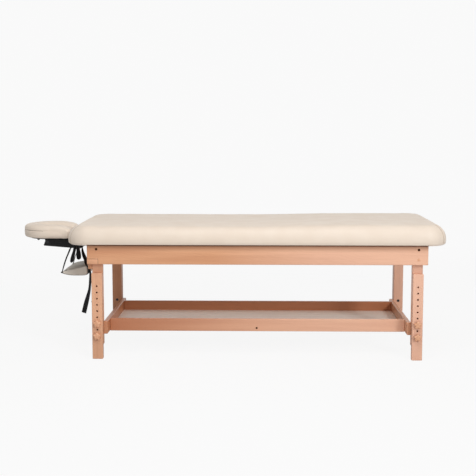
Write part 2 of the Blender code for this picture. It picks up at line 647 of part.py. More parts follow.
def build_headrest_arms():
    """Two grooved side arms on the hinge rod, with a spacer between and a tilt pin in each tip."""
    circles = [(HINGE.x, HINGE.z, ARM_HINGE_RADIUS),
               (HINGE.x - ARM_HEEL_REACH, HINGE.z - ARM_HEEL_DROP, ARM_HEEL_RADIUS),
               (TILT.x, TILT.z, ARM_TIP_RADIUS),
               (TILT.x - ARM_TOE_REACH, TILT.z - ARM_TOE_DROP, ARM_TOE_RADIUS)]
    along = (TILT - HINGE).normalized()
    upward = Vector((along.z, 0, -along.x))
    for side in (FRONT, BACK):
        low, high = sorted((side * ARM_INNER, side * ARM_OUTER))
        arm = add("headrest_arm_" + SIDE_NAMES[side], bar(circles, low, high, ARM_EASE), BLACK_PLASTIC,
                  pivot=HINGE)
        grooves = []
        groove_faces = sorted((side * (ARM_OUTER - ARM_GROOVE_DEPTH), side * (ARM_OUTER + OVERRUN)))
        for offset in (ARM_GROOVE_OFFSET, -ARM_GROOVE_OFFSET):
            start = HINGE + along * ARM_HINGE_RADIUS + upward * offset
            end = TILT - along * ARM_TIP_RADIUS + upward * offset
            grooves.append(bar([(start.x, start.z, ARM_GROOVE_HALF_HEIGHT),
                                (end.x, end.z, ARM_GROOVE_HALF_HEIGHT)], *groove_faces))
        cut(arm, *grooves)
        cut(arm, *[cross_rod(centre, low - OVERRUN, high + OVERRUN, HINGE_BORE) for centre in (HINGE, TILT)])
        head = ARM_OUTER + CLEARANCE
        shank_low, shank_high = sorted((side * EAR_INNER, side * (head + PIN_HEAD_THICKNESS / 2)))
        pin = add("tilt_pin_" + SIDE_NAMES[side], cross_rod(TILT, shank_low, shank_high, HINGE_ROD_RADIUS),
                  STEEL, pivot=TILT)
        head_low, head_high = sorted((side * head, side * (head + PIN_HEAD_THICKNESS)))
        join(pin, cross_rod(TILT, head_low, head_high, PIN_HEAD_RADIUS))
    reach = ARM_INNER - CLEARANCE
    middle = HINGE + Vector((-SPACER_REACH, 0, SPACER_RISE))
    add("arm_spacer", cross_rod(middle, -reach, reach, SPACER_RADIUS), BLACK_STEEL, pivot=HINGE)


def build_levers():
    """Two cam levers that hang from the hinge rod: one outside the front arm, one inside its ear."""
    outer = -(ARM_OUTER + CLEARANCE)
    inner = -(EAR_INNER - CLEARANCE)
    for name, hub, tip, reach, drop, low, high in (
            ("arm_lever", ARM_LEVER_HUB_RADIUS, ARM_LEVER_TIP_RADIUS, ARM_LEVER_REACH, ARM_LEVER_DROP,
             outer - ARM_LEVER_WIDTH, outer),
            ("post_lever", POST_LEVER_HUB_RADIUS, POST_LEVER_TIP_RADIUS, POST_LEVER_REACH, POST_LEVER_DROP,
             inner, inner + POST_LEVER_WIDTH)):
        shape = bar([(HINGE.x, HINGE.z, hub), (HINGE.x - reach, HINGE.z - drop, tip)], low, high, LEVER_EASE)
        lever = add(name, shape, BLACK_PLASTIC, pivot=HINGE)
        cut(lever, cross_rod(HINGE, low - OVERRUN, high + OVERRUN, HINGE_BORE))


def horseshoe(outer_half_width, gap_half_width, inner_end, end_round):
    """Stations round a horseshoe that is open toward the table.

    Each is the middle of the section, its outward direction, and how far the section is drawn in
    where the open ends are rounded.
    """
    middle = (outer_half_width + gap_half_width) / 2
    ends = []
    for i in range(1, LEG_STEPS):
        ends.append((-FACE_BEND_X + (FACE_BEND_X - inner_end - end_round) * i / LEG_STEPS, 0))
    for sine, cosine in [(0, 1)] + quarter_turn(END_ROUND_STEPS):
        ends.append((-inner_end - end_round * (1 - sine), end_round * (1 - cosine)))
    stations = [(Vector((x, -middle, 0)), Vector((0, -1, 0)), inset) for x, inset in reversed(ends)]
    for i in range(BEND_STEPS + 1):
        angle = math.pi / 2 + math.pi * (1 - i / BEND_STEPS)
        outward = Vector((math.cos(angle), math.sin(angle), 0))
        stations.append((Vector((-FACE_BEND_X, 0, 0)) + outward * middle, outward, 0))
    stations += [(Vector((x, middle, 0)), Vector((0, 1, 0)), inset) for x, inset in ends]
    return stations


def build_platform():
    """The horseshoe plate that tilts on two lugs between the arms."""
    outer, gap = PLATFORM_HALF_WIDTH, PLATFORM_GAP_HALF_WIDTH
    inner_end = FACE_INNER_END + PLATFORM_INNER_MARGIN
    top = PLATFORM_BOTTOM + PLATFORM_THICKNESS
    rings = []
    for middle, outward, inset in horseshoe(outer, gap, inner_end, PLATFORM_END_ROUND):
        reach = (outer - gap) / 2 - inset
        rings.append([middle + outward * across + Vector((0, 0, z)) for across, z in (
            (-reach + PLATFORM_EASE, PLATFORM_BOTTOM), (reach - PLATFORM_EASE, PLATFORM_BOTTOM),
            (reach, PLATFORM_BOTTOM + PLATFORM_EASE), (reach, top - PLATFORM_EASE),
            (reach - PLATFORM_EASE, top), (-reach + PLATFORM_EASE, top),
            (-reach, top - PLATFORM_EASE), (-reach, PLATFORM_BOTTOM + PLATFORM_EASE))])
    platform = add("face_platform", loft(rings), BLACK_PLASTIC, pivot=TILT)
    shoulders = [(TILT.x + reach, PLATFORM_BOTTOM, LUG_SHOULDER_RADIUS)
                 for reach in (-LUG_SHOULDER_REACH, LUG_SHOULDER_REACH)]
    for side in (FRONT, BACK):
        low, high = sorted((side * EAR_OUTER, side * (EAR_INNER + CLEARANCE)))
        join(platform, bar([(TILT.x, TILT.z, LUG_RADIUS), *shoulders], low, high))
    cut(platform, cross_rod(TILT, -ARM_OUTER, ARM_OUTER, HINGE_BORE))


def build_face_cushion():
    """The horseshoe cushion, swept round the face opening, with a seam along its outer side.

    Its open ends slope down toward the table.
    """
    half_width = (FACE_HALF_WIDTH - FACE_GAP_HALF_WIDTH) / 2
    rings = []
    stations = horseshoe(FACE_HALF_WIDTH, FACE_GAP_HALF_WIDTH, FACE_INNER_END, FACE_END_ROUND)
    for middle, outward, inset in stations:
        ring = []
        slope = max(0, 1 + (middle.x + FACE_INNER_END) / FACE_END_SLOPE)
        height = FACE_HEIGHT - FACE_END_DROP * slope ** 2
        for across_share, height_share in FACE_SECTION_SHARES:
            z = FACE_BOTTOM + inset + (height - 2 * inset) * height_share
            ring.append(middle + outward * (half_width - inset) * across_share + Vector((0, 0, z)))
        rings.append(ring)
    add("face_cushion", loft(rings), VINYL, pivot=TILT)


def pad_point(across_share, height_share):
    """A point of the pad's section as (x, z)."""
    return Vector((PAD_HEAD_EDGE + PAD_WIDTH * across_share, PAD_BOTTOM + PAD_HEIGHT * height_share))


def build_sling():
    """The crowned arm pad, a strap under each end of it, and each strap's buckle and loose end."""
    under = [pad_point(*shares) for shares in PAD_STRAPPED_SHARES]
    top = [pad_point(*shares) for shares in PAD_TOP_SHARES]
    middle = sum(under + top, Vector((0, 0))) / len(under + top)
    reach = PAD_END_SHARES[0][0]
    lengthwise = [(reach * (2 * i / PAD_STATIONS - 1), 1) for i in range(1, PAD_STATIONS)]
    stations = [(-share, size) for share, size in reversed(PAD_END_SHARES)]
    stations += [*lengthwise, *PAD_END_SHARES]
    rings = []
    for share, size in stations:
        lift = Vector((0, PAD_CROWN * (1 - share ** 2)))
        outline = under + [point + lift for point in top]
        rings.append([(point.x, (STRAP_SPREAD + PAD_END) * share, point.y)
                      for point in (middle.lerp(point, size) for point in outline)])
    add("sling_pad", loft(rings), GREY_VINYL)
    for side in (FRONT, BACK):
        build_strap(side)


def way(start, end, shares, steps):
    """A smooth path of (x, z, turn) between two (x, z) points by way of shares of the distance."""
    stops = [(0, 0, 0), *shares, (1, 1, 0)]
    return [Vector((start.x + (end.x - start.x) * across, start.y + (end.y - start.y) * drop, turn))
            for across, drop, turn in smooth_path(stops, steps)]


def offset_points(points, distance):
    """Points on the right of a path of (x, z) points, all at one distance from its straight runs."""
    runs = [(after - before).normalized() for before, after in zip(points, points[1:])]
    moved = []
    for point, before, after in zip(points, [runs[0], *runs], [*runs, runs[-1]]):
        heading = (before + after).normalized()
        moved.append(point + Vector((heading.y, -heading.x)) * distance / heading.dot(after))
    return moved


def strap_path():
    """One strap as (x, z, turn): loop on the rod, down, round the pad and up to the crossbar."""
    gap = CLEARANCE + STRAP_THICKNESS / 2
    loop = HINGE_ROD_RADIUS + gap
    hinge = Vector((HINGE.x, HINGE.z))
    turn = [hinge + loop * Vector((math.cos(angle), math.sin(angle)))
            for angle in (math.pi * i / LOOP_STEPS for i in range(LOOP_STEPS + 1))]
    round_pad = offset_points([pad_point(*shares) for shares in PAD_STRAPPED_SHARES], gap)
    seat_x = CROSSBAR_BACK + gap
    path = [point.to_3d() for point in [turn[0] - Vector((0, LOOP_TAIL)), *turn]]
    path += way(turn[-1] - Vector((0, loop)), round_pad[0], FRONT_STRAP_SHARES, STRAP_STEPS)
    path += [point.to_3d() for point in round_pad[1:-1]]
    path += reversed(way(Vector((seat_x, CROSSBAR_BOTTOM + CROSSBAR_EASE)), round_pad[-1],
                         REAR_STRAP_SHARES, STRAP_STEPS))
    path.append(Vector((seat_x, CROSSBAR_BOTTOM + CROSSBAR_HEIGHT - CROSSBAR_EASE, 0)))
    return path


def webbing(path, side, twist):
    """A band of webbing along (x, z, turn) points on one side, turned about its own run."""
    y = side * STRAP_SPREAD
    flat = [point.to_2d() for point in path]
    runs = [(after - before).normalized() for before, after in zip(flat, flat[1:])]
    rings = []
    for point, before, after in zip(path, [runs[0], *runs], [*runs, runs[-1]]):
        heading = (before + after).normalized()
        normal = Vector((-heading.y, 0, heading.x))
        turn = side * twist * point.z
        wide = (Vector((0, math.cos(turn), 0)) + normal * math.sin(turn)) * STRAP_WIDTH / 2
        thick = normal * math.cos(turn) - Vector((0, math.sin(turn), 0))
        thick *= STRAP_THICKNESS / (2 * heading.dot(after))
        centre = Vector((point.x, y, point.y))
        rings.append([centre + wide + thick, centre - wide + thick, centre - wide - thick,
                      centre + wide - thick])
    return loft(rings)


def build_strap(side):
    """One strap of the sling with its ladder buckle and the loose end that hangs from it."""
    name = SIDE_NAMES[side]
    y = side * STRAP_SPREAD
    add("sling_strap_" + name, webbing(strap_path(), side, STRAP_TWIST), WEBBING)
    left = PAD_FOOT_EDGE + CLEARANCE + STRAP_THICKNESS + CLEARANCE
    right = left + BUCKLE_THICKNESS
    middle = PAD_BOTTOM + BUCKLE_RISE
    buckle = add("strap_buckle_" + name,
                 block((left, y - BUCKLE_WIDTH / 2, middle - BUCKLE_HEIGHT / 2),
                       (right, y + BUCKLE_WIDTH / 2, middle + BUCKLE_HEIGHT / 2), BUCKLE_EASE), BLACK_PLASTIC)
    cut(buckle, *[block((left - OVERRUN, y - STRAP_WIDTH / 2, z - BUCKLE_SLOT_HEIGHT / 2),
                        (right + OVERRUN, y + STRAP_WIDTH / 2, z + BUCKLE_SLOT_HEIGHT / 2))
                  for z in (middle - BUCKLE_SLOT_SPACING / 2, middle + BUCKLE_SLOT_SPACING / 2)])
    start = Vector((right + CLEARANCE + STRAP_THICKNESS / 2, middle + BUCKLE_HEIGHT / 2))
    path = [Vector((start.x + TAIL_SWAY * sway, start.y - TAIL_LENGTH * drop, turn))
            for sway, drop, turn in smooth_path(TAIL_ROUTE_SHARES, TAIL_STEPS)]
    add("strap_end_" + name, webbing(path, side, TAIL_TWIST), WEBBING)


build_aprons()
build_battens()
build_legs()
build_tray()
build_deck_and_cushion()
build_headrest_base()
build_headrest_arms()
build_levers()
build_platform()
build_face_cushion()
build_sling()
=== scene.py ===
"""A wooden massage table with a face rest and an arm sling, dressed piece by piece.

Metres. +Z is up, +X points to the foot end and the front long side faces -Y.
"""
import math

import bmesh
import bpy
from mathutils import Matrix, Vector, noise


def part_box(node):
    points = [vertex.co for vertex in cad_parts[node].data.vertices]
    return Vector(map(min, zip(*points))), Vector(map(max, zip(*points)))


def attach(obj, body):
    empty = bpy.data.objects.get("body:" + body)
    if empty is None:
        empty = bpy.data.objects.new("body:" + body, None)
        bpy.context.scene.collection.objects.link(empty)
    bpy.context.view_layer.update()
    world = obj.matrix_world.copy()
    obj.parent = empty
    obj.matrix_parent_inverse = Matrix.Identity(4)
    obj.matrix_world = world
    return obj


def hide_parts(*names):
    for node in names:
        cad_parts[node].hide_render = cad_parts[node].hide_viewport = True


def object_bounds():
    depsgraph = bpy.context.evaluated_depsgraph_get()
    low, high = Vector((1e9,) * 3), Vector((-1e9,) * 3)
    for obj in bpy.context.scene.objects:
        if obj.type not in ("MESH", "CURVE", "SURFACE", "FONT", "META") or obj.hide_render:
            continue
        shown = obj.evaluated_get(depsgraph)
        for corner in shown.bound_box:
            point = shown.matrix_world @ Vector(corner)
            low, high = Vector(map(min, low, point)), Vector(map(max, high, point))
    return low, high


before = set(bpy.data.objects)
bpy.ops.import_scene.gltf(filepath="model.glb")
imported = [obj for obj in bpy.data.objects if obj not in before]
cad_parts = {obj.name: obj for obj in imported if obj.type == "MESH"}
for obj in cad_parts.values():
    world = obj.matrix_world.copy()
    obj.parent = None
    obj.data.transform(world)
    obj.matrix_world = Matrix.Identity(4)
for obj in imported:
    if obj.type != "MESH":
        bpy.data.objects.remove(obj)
cad_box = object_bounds()

# The camera stands in front of the long side, a little to the foot end of the middle and about a
# metre up. It looks slightly down and slightly toward the head end.
CAMERA_PLACE = (0.15125, -4.9793, 1.1009)
CAMERA_DOWN = math.radians(6.380)
CAMERA_LEFT = math.radians(1.281)
LENS_MILLIMETRES = 74.73
camera = bpy.data.objects.new("camera", bpy.data.cameras.new("camera"))
bpy.context.collection.objects.link(camera)
camera.location = CAMERA_PLACE
camera.rotation_euler = (math.pi / 2 - CAMERA_DOWN, 0, CAMERA_LEFT)
camera.data.lens = LENS_MILLIMETRES
bpy.context.scene.camera = camera
bpy.context.scene.view_settings.view_transform = 'Standard'


# The studio: a pale floor that fades out into a white background, a soft lamp high at the front
# right, a wide one above, a weak one low at the right and an even light from all round. The first
# lamp's height puts the back legs in the deck's shade.
class Socket:
    """An output in a node tree. Sums and products of it add Math nodes."""

    def __init__(self, tree, link=None):
        self.tree = tree
        self.link = link

    def node(self, kind, settings=None, inputs=None, output=0):
        """Adds a node: its settings first, then its sockets' values or links by name or number."""
        added = self.tree.nodes.new("ShaderNode" + kind)
        for name, value in (settings or {}).items():
            setattr(added, name, value)
        for name, value in (inputs or {}).items():
            if isinstance(value, Socket):
                self.tree.links.new(value.link, added.inputs[name])
            else:
                added.inputs[name].default_value = value
        return Socket(self.tree, added.outputs[output])

    def math(self, operation, *others):
        """A Math node on this number and the others."""
        return self.node("Math", {"operation": operation}, dict(enumerate((self, *others))))

    def __add__(self, other):
        return self.math('ADD', other)

    def __sub__(self, other):
        return self.math('SUBTRACT', other)

    def __rsub__(self, other):
        return self.math('MULTIPLY_ADD', -1, other)

    def __mul__(self, other):
        return self.math('MULTIPLY', other)

    __radd__ = __add__
    __rmul__ = __mul__

    def scaled(self, x, y, z):
        """This vector times another, one axis at a time."""
        return self.node("VectorMath", {"operation": 'MULTIPLY'}, {0: self, 1: (x, y, z)})

    def axis(self, number):
        """One number of this vector."""
        return self.node("SeparateXYZ", None, {0: self}, number)

    def clouds(self, scale=1.0, detail=3.0, roughness=0.5):
        """Soft noise about 0.5 at this point."""
        return self.node("TexNoise", None, {"Vector": self, "Scale": scale, "Detail": detail,
                                            "Roughness": roughness})

    def cells(self, scale=1.0, feature='F1'):
        """Distance from the middle, or from the edge, of the nearest of scattered cells."""
        return self.node("TexVoronoi", {"feature": feature}, {"Vector": self, "Scale": scale},
                         "Distance")

    def step(self, low, high):
        """0 at low and 1 at high, with a smooth rise between."""
        return self.node("MapRange", {"interpolation_type": 'SMOOTHSTEP'},
                         {"Value": self, "From Min": low, "From Max": high})

    def blend(self, first, second):
        """The first colour where this is 0 and the second where it is 1."""
        return self.node("Mix", {"data_type": 'RGBA'}, {0: self, 6: first, 7: second}, 2)

    def bump(self, strength, distance):
        """A normal from this height."""
        return self.node("Bump", None, {"Height": self, "Strength": strength, "Distance": distance})

    def feed(self, socket):
        self.tree.links.new(self.link, socket)


BACKGROUND_WHITE = 0.95
AMBIENT = 0.43
FLOOR_COLOUR = (0.78, 0.78, 0.78, 1)
FLOOR_HALF_SIZE = 14
# Distances from the middle between which the floor fades out
FLOOR_FADE = (1.6, 5.0)
FLOOR_WHITE = 0.975
FLOOR_WHITE_SHARE = 0.92
# Each lamp's name, its place, the point that it faces, its power in watts and its width
LAMPS = (
    ("key_lamp", (5.3, -8.6, 4.7), (0.1, 0, 0.4), 318, 1.4),
    ("top_lamp", (0.1, -2.27, 3.55), (0.1, -0.36, 0.5), 60, 2.2),
    ("fill_lamp", (3.0, -4.0, 0.9), (0.6, 0, 0.3), 15, 1.2),
)

world = bpy.data.worlds.new("studio")
bpy.context.scene.world = world
world.use_nodes = True
sky = Socket(world.node_tree)
seen = sky.node("LightPath", None, None, "Is Camera Ray")
for name in ("Is Glossy Ray", "Is Transmission Ray"):
    seen = seen.math('MAXIMUM', sky.node("LightPath", None, None, name))
backdrop = world.node_tree.nodes["Background"].inputs
(seen * (BACKGROUND_WHITE - AMBIENT) + AMBIENT).feed(backdrop["Strength"])
backdrop["Color"].default_value = (1, 1, 1, 1)

floor_shape = bmesh.new()
bmesh.ops.create_grid(floor_shape, x_segments=1, y_segments=1, size=FLOOR_HALF_SIZE)
floor_mesh = bpy.data.meshes.new("floor")
floor_shape.to_mesh(floor_mesh)
floor_shape.free()
floor = bpy.data.objects.new("floor", floor_mesh)
bpy.context.collection.objects.link(floor)
floor_look = bpy.data.materials.new("floor")
floor_look.use_nodes = True
paint = Socket(floor_look.node_tree)
place = paint.node("TexCoord", None, None, "Object")
far = place.node("VectorMath", {"operation": 'LENGTH'}, {0: place}, "Value").step(*FLOOR_FADE)
seen = paint.node("LightPath", None, None, "Is Camera Ray")
matt = paint.node("BsdfDiffuse", None, {"Color": FLOOR_COLOUR})
white = paint.node("Emission", None, {"Strength": FLOOR_WHITE})
lit = paint.node("MixShader", None, {0: seen * FLOOR_WHITE_SHARE, 1: matt, 2: white})
clear = paint.node("BsdfTransparent")
surface = paint.node("MixShader", None, {0: far, 1: lit, 2: clear})
surface.feed(floor_look.node_tree.nodes["Material Output"].inputs["Surface"])
floor_mesh.materials.append(floor_look)

for name, place, aim, power, size in LAMPS:
    lamp = bpy.data.lights.new(name, 'AREA')
    lamp.energy = power
    lamp.size = size
    holder = bpy.data.objects.new(name, lamp)
    bpy.context.collection.objects.link(holder)
    holder.location = place
    holder.rotation_euler = (Vector(aim) - Vector(place)).to_track_quat('-Z', 'Y').to_euler()

# The frame: aprons, battens, legs, rails and tray boards of steamed beech, planed, with eased
# edges and a clear satin lacquer. Beech has soft tone bands, arched growth rings where a board is
# cut flat, fine lines and short ray flecks, and some boards have red heartwood. On some boards the
# red and pale shares and the darker rim also carry painted light and shade.
BEECH_LIGHT = (0.800, 0.435, 0.245, 1)
BEECH_DEEP = (0.610, 0.285, 0.142, 1)
BEECH_RED = (0.450, 0.165, 0.072, 1)
BEECH_PALE = (0.900, 0.600, 0.500, 1)
BEECH_FLECK = (0.420, 0.185, 0.090, 1)
BEECH_DARKENED = (0.270, 0.110, 0.048, 1)
BEECH_END = (0.480, 0.215, 0.110, 1)
# Widths and lengths of the marks, the length along the grain
BAND_WIDTH, BAND_LENGTH = 0.042, 0.750
LINE_WIDTH, LINE_LENGTH = 0.0045, 0.260
FIBRE_WIDTH, FIBRE_LENGTH = 0.0004, 0.016
FLECK_WIDTH, FLECK_LENGTH = 0.0009, 0.0042
WANDER_WIDTH, WANDER_LENGTH = 0.035, 0.130
RING_PITCH = 0.0075
RING_WANDER = 0.030
TREE_LEAN = 0.16
# The aprons' upper rim is darker in colour: painted shade under the cushion's edge
RIM_SHADE_DEPTH = 0.034
RIM_SHADE_DARKNESS = 0.75
EDGE_EASE = 0.0006
table_low, table_high = cad_box


def finish(name, roughness):
    """A new material with its Principled shader and the point on the piece."""
    look = bpy.data.materials.new(name)
    look.use_nodes = True
    shader = look.node_tree.nodes["Principled BSDF"]
    shader.inputs["Roughness"].default_value = roughness
    return look, shader.inputs, Socket(look.node_tree).node("TexCoord", None, None, "Object")


def grain(point, along, width, length):
    """The point with one axis drawn out, so that what is scattered on it lies along the grain."""
    return point.scaled(*[1 / (length if axis == along else width) for axis in range(3)])


def beech(name, along, heart=(0, 0, 0), red=(0.1, 0.1), pale=(0, 0), tone_shift=None, end_grain=0.25):
    """Lacquered beech with its grain along one axis.

    Heart is a point on the middle line of the tree that the board was cut from. Red and pale give
    the shares of red heartwood and of pale sapwood at the table's head end and foot end; on some
    boards they also carry painted light and shade. The tuple after them gives the heights between
    which the board darkens, from not at all to its last share: painted shade under the cushion's
    edge on the aprons, and a darkening toward the foot on the legs.
    """
    look, shader, point = finish(name, 0.36)
    bands = grain(point, along, BAND_WIDTH, BAND_LENGTH).clouds(detail=2).step(0.32, 0.68)
    lines = grain(point, along, LINE_WIDTH, LINE_LENGTH).clouds(detail=4, roughness=0.6)
    fibres = grain(point, along, FIBRE_WIDTH, FIBRE_LENGTH).clouds(detail=2)
    flecks = 1 - grain(point, along, FLECK_WIDTH, FLECK_LENGTH).cells().step(0.16, 0.30)
    across, through = [axis for axis in range(3) if axis != along]
    side = point.axis(across) - heart[across]
    depth = point.axis(through) - heart[through] + (point.axis(along) - heart[along]) * TREE_LEAN
    wander = grain(point, along, WANDER_WIDTH, WANDER_LENGTH).clouds(detail=2) * RING_WANDER
    rings = ((side * side + depth * depth).math('SQRT') + wander) * (math.tau / RING_PITCH)
    arches = rings.math('SINE') * 0.5 + 0.5
    tone = bands * 0.36 + arches * 0.16 + lines.step(0.35, 0.75) * 0.32 + fibres * 0.16
    colour = (flecks * 0.30).blend(tone.blend(BEECH_LIGHT, BEECH_DEEP), BEECH_FLECK)
    footward = point.axis(0).step(table_low[0] * 0.6, table_high[0] * 0.6)
    colour = (footward * (red[1] - red[0]) + red[0] + (bands - 0.5) * 0.16).blend(colour, BEECH_RED)
    colour = (footward * (pale[1] - pale[0]) + pale[0]).blend(colour, BEECH_PALE)
    # Darkens the board between two heights: painted shade on the aprons, a darkening toward the foot on
    # the legs
    if tone_shift:
        clean, dark, share = tone_shift
        darkening = point.axis(2).step(clean, dark) * (lines * 0.4 + 0.8) * share
        colour = darkening.blend(colour, BEECH_DARKENED)
    normal = point.node("TexCoord", None, None, "Normal")
    end = normal.axis(along).math('ABSOLUTE').step(0.75, 0.95)
    pores = point.clouds(scale=1500, detail=2).step(0.45, 0.7)
    (end * (pores * 0.2 + end_grain)).blend(colour, BEECH_END).feed(shader["Base Color"])
    (lines * 0.16 + 0.30).feed(shader["Roughness"])
    (fibres - flecks * 0.6).bump(0.18, 0.0004).feed(shader["Normal"])
    shader["Coat Weight"].default_value = 0.15
    shader["Coat Roughness"].default_value = 0.24
    return look


def centre_of(node):
    """The middle of a CAD node's box, as x, y and z."""
    return [(near + far) / 2 for near, far in zip(*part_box(node))]


def dress(look, *names):
    """Gives CAD nodes a material and takes the last sharpness off their edges."""
    for name in names:
        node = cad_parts[name]
        for holder in node.material_slots:
            holder.material = look
        weld = node.modifiers.new("weld", 'WELD')
        weld.merge_threshold = 0.00001
        soften = node.modifiers.new("soften", 'BEVEL')
        soften.width = EDGE_EASE
        soften.segments = 2
        soften.limit_method = 'ANGLE'
        soften.angle_limit = math.radians(25)
        soften.harden_normals = True


# The two long sides, with the direction along Y that each faces, and the four corners
SIDES = {"front": -1, "back": 1}
CORNERS = [f"{end}_{side}" for end in ("head", "foot") for side in SIDES]
# Each leg's shares of red heartwood, of pale sapwood and of its darkening toward the foot. The
# back legs' shares are painted light and shade: the head-end one redder as painted shade, the
# foot-end one paler as painted light.
LEG_RED = {"head_front": 0.10, "foot_front": 0.0, "head_back": 0.55, "foot_back": 0.0}
LEG_PALE = {"head_front": 0.14, "foot_front": 0.42, "head_back": 0.0, "foot_back": 0.42}
LEG_FOOT_DARKENING = {"head_front": 0.28, "foot_front": 0.12, "head_back": 0.16, "foot_back": 0.05}
LEG_UNDARKENED_HEIGHT, LEG_DARKEST_HEIGHT = 0.28, 0.02
# The front apron's red share grows and its pale share falls toward the head end: partly the wood's own
# tone, partly painted light that falls off away from the lamps at the foot end.
for side, red, pale in (("front", (0.28, 0.04), (-0.25, 0.34)), ("back", (0.1, 0.2), (0.1, 0.1))):
    low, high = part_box("apron_" + side)
    heart = (low[0] * 0.2, high[1], high[2] + 0.03)
    # The darker upper rim is painted shade from the cushion's overhang
    tone_shift = (high[2] - RIM_SHADE_DEPTH, high[2], RIM_SHADE_DARKNESS)
    dress(beech("beech_apron_" + side, 0, heart, red, pale, tone_shift), "apron_" + side)
# The tray boards' red shares are painted shade: the front board redder toward the head end where the
# leg's shadow falls, the back board red all along in the deck's shade.
for side, red, pale in (("front", (0.92, 0.14), (0.02, 0.32)), ("back", (1.0, 1.0), (0.0, 0.0))):
    low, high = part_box("tray_board_" + side)
    heart = (high[0], low[1], low[2] - 0.02)
    dress(beech("beech_tray_board_" + side, 0, heart, red, pale), "tray_board_" + side)
for corner in CORNERS:
    low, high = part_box("lower_leg_" + corner)
    heart = (centre_of("lower_leg_" + corner)[0] + 0.008, low[1] - 0.004, high[2] * 0.35)
    leg_look = beech("beech_leg_" + corner, 2, heart, [LEG_RED[corner]] * 2, [LEG_PALE[corner]] * 2,
                     (LEG_UNDARKENED_HEIGHT, LEG_DARKEST_HEIGHT, LEG_FOOT_DARKENING[corner]))
    dress(leg_look, "lower_leg_" + corner, "upper_leg_" + corner)
dress(beech("beech_cross", 1, (0, 0.1, 0.35), (0.3, 0.15)), "apron_head", "apron_foot", "deck_batten_1",
      "deck_batten_2", "deck_batten_3")
# The rails' end faces are much darker than other end grain: partly beech's darker end grain, partly
# painted shade from the legs.
rail_look = beech("beech_rail", 1, (0, 0.1, 0.1), (0.75, 0.30), (0.0, 0.10), end_grain=0.70)
dress(rail_look, "cross_rail_head", "cross_rail_foot")

# The tray floor and the deck board: sanded birch plywood in wide rotary-cut sheets, pale with a
# cool pink cast.
PLY_LIGHT = (0.975, 0.895, 0.820, 1)
PLY_DEEP = (0.920, 0.820, 0.740, 1)
PLY_WIDTH, PLY_LENGTH = 0.060, 0.420
ply, ply_shader, ply_point = finish("birch_plywood", 0.5)
swirl = grain(ply_point, 0, PLY_WIDTH, PLY_LENGTH).clouds(detail=5, roughness=0.62).step(0.3, 0.75)
ply_fibres = grain(ply_point, 0, FIBRE_WIDTH, FIBRE_LENGTH).clouds(detail=2)
(swirl * 0.8 + ply_fibres * 0.2).blend(PLY_LIGHT, PLY_DEEP).feed(ply_shader["Base Color"])
ply_fibres.bump(0.12, 0.0004).feed(ply_shader["Normal"])
dress(ply, "tray_floor", "deck_board")


# Frame fixings: over each leg a blackened socket-head bolt sits deep in its counterbore, and the
# lower counterbore is closed with a beech plug. One screw holds the tray floor at mid length.
def join(shape, rows):
    """Faces between rings of vertices, each ring as long as the others."""
    for lower, upper in zip(rows, rows[1:]):
        for i in range(len(lower)):
            j = (i + 1) % len(lower)
            shape.faces.new((lower[i], lower[j], upper[j], upper[i]))


def skin(rings):
    """A closed body through rings of points."""
    shape = bmesh.new()
    rows = [[shape.verts.new(point) for point in ring] for ring in rings]
    join(shape, rows)
    shape.faces.new(rows[0])
    shape.faces.new(rows[-1])
    return shape


def turned(start, end, profile, sides=32):
    """A turned body from start toward end. The profile is (distance along, radius, flat sides)."""
    start, end = Vector(start), Vector(end)
    turn = (end - start).to_track_quat('Z', 'X')
    rings = []
    for distance, radius, flats in profile:
        ring = []
        for i in range(sides):
            angle = math.tau * i / sides
            reach = radius
            if flats:
                sector = math.tau / flats
                reach = radius / math.cos((angle + sector / 2) % sector - sector / 2)
            spoke = Vector((reach * math.cos(angle), reach * math.sin(angle), distance))
            ring.append(start + turn @ spoke)
        rings.append(ring)
    return skin(rings)


def rod_profile(length, radius, eases):
    """A round rod with like ends. An ease is (distance from the end, how much thinner there)."""
    start = [(distance, radius - thinner, 0) for distance, thinner in eases]
    return start + [(length - distance, reach, 0) for distance, reach, _ in reversed(start)]


def socket_head(base, height, radius, eases, socket_radius, socket_depth):
    """A head with a hexagon socket. An ease is (distance below the top, how much thinner there)."""
    rim = [(height - below, radius - thinner, 0) for below, thinner in eases]
    socket = [(height, socket_radius, 6), (height - socket_depth, socket_radius, 6)]
    return [(base, radius, 0), *rim, *socket]


def make(name, shape, look, body, replaces=(), smooth_angle=35):
    """A finished piece from a bmesh, riding on a body and standing for the nodes it replaces."""
    bmesh.ops.remove_doubles(shape, verts=shape.verts, dist=0.000001)
    bmesh.ops.recalc_face_normals(shape, faces=shape.faces)
    mesh = bpy.data.meshes.new(name)
    shape.to_mesh(mesh)
    shape.free()
    mesh.shade_smooth()
    mesh.set_sharp_from_angle(angle=math.radians(smooth_angle))
    mesh.materials.append(look)
    piece = bpy.data.objects.new(name, mesh)
    bpy.context.collection.objects.link(piece)
    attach(piece, body)
    if replaces:
        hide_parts(*replaces)
    return piece


def blackened(name, colour, rough):
    """Blackened steel with a fine brushed variation."""
    look, shader, point = finish(name, rough)
    shader["Metallic"].default_value = 1.0
    patches = point.clouds(scale=140, detail=4)
    patches.blend(colour, [part * 0.72 for part in colour[:3]] + [1]).feed(shader["Base Color"])
    (patches * 0.25 + (rough - 0.1)).feed(shader["Roughness"])
    point.clouds(scale=2600, detail=2).bump(0.08, 0.0002).feed(shader["Normal"])
    return look


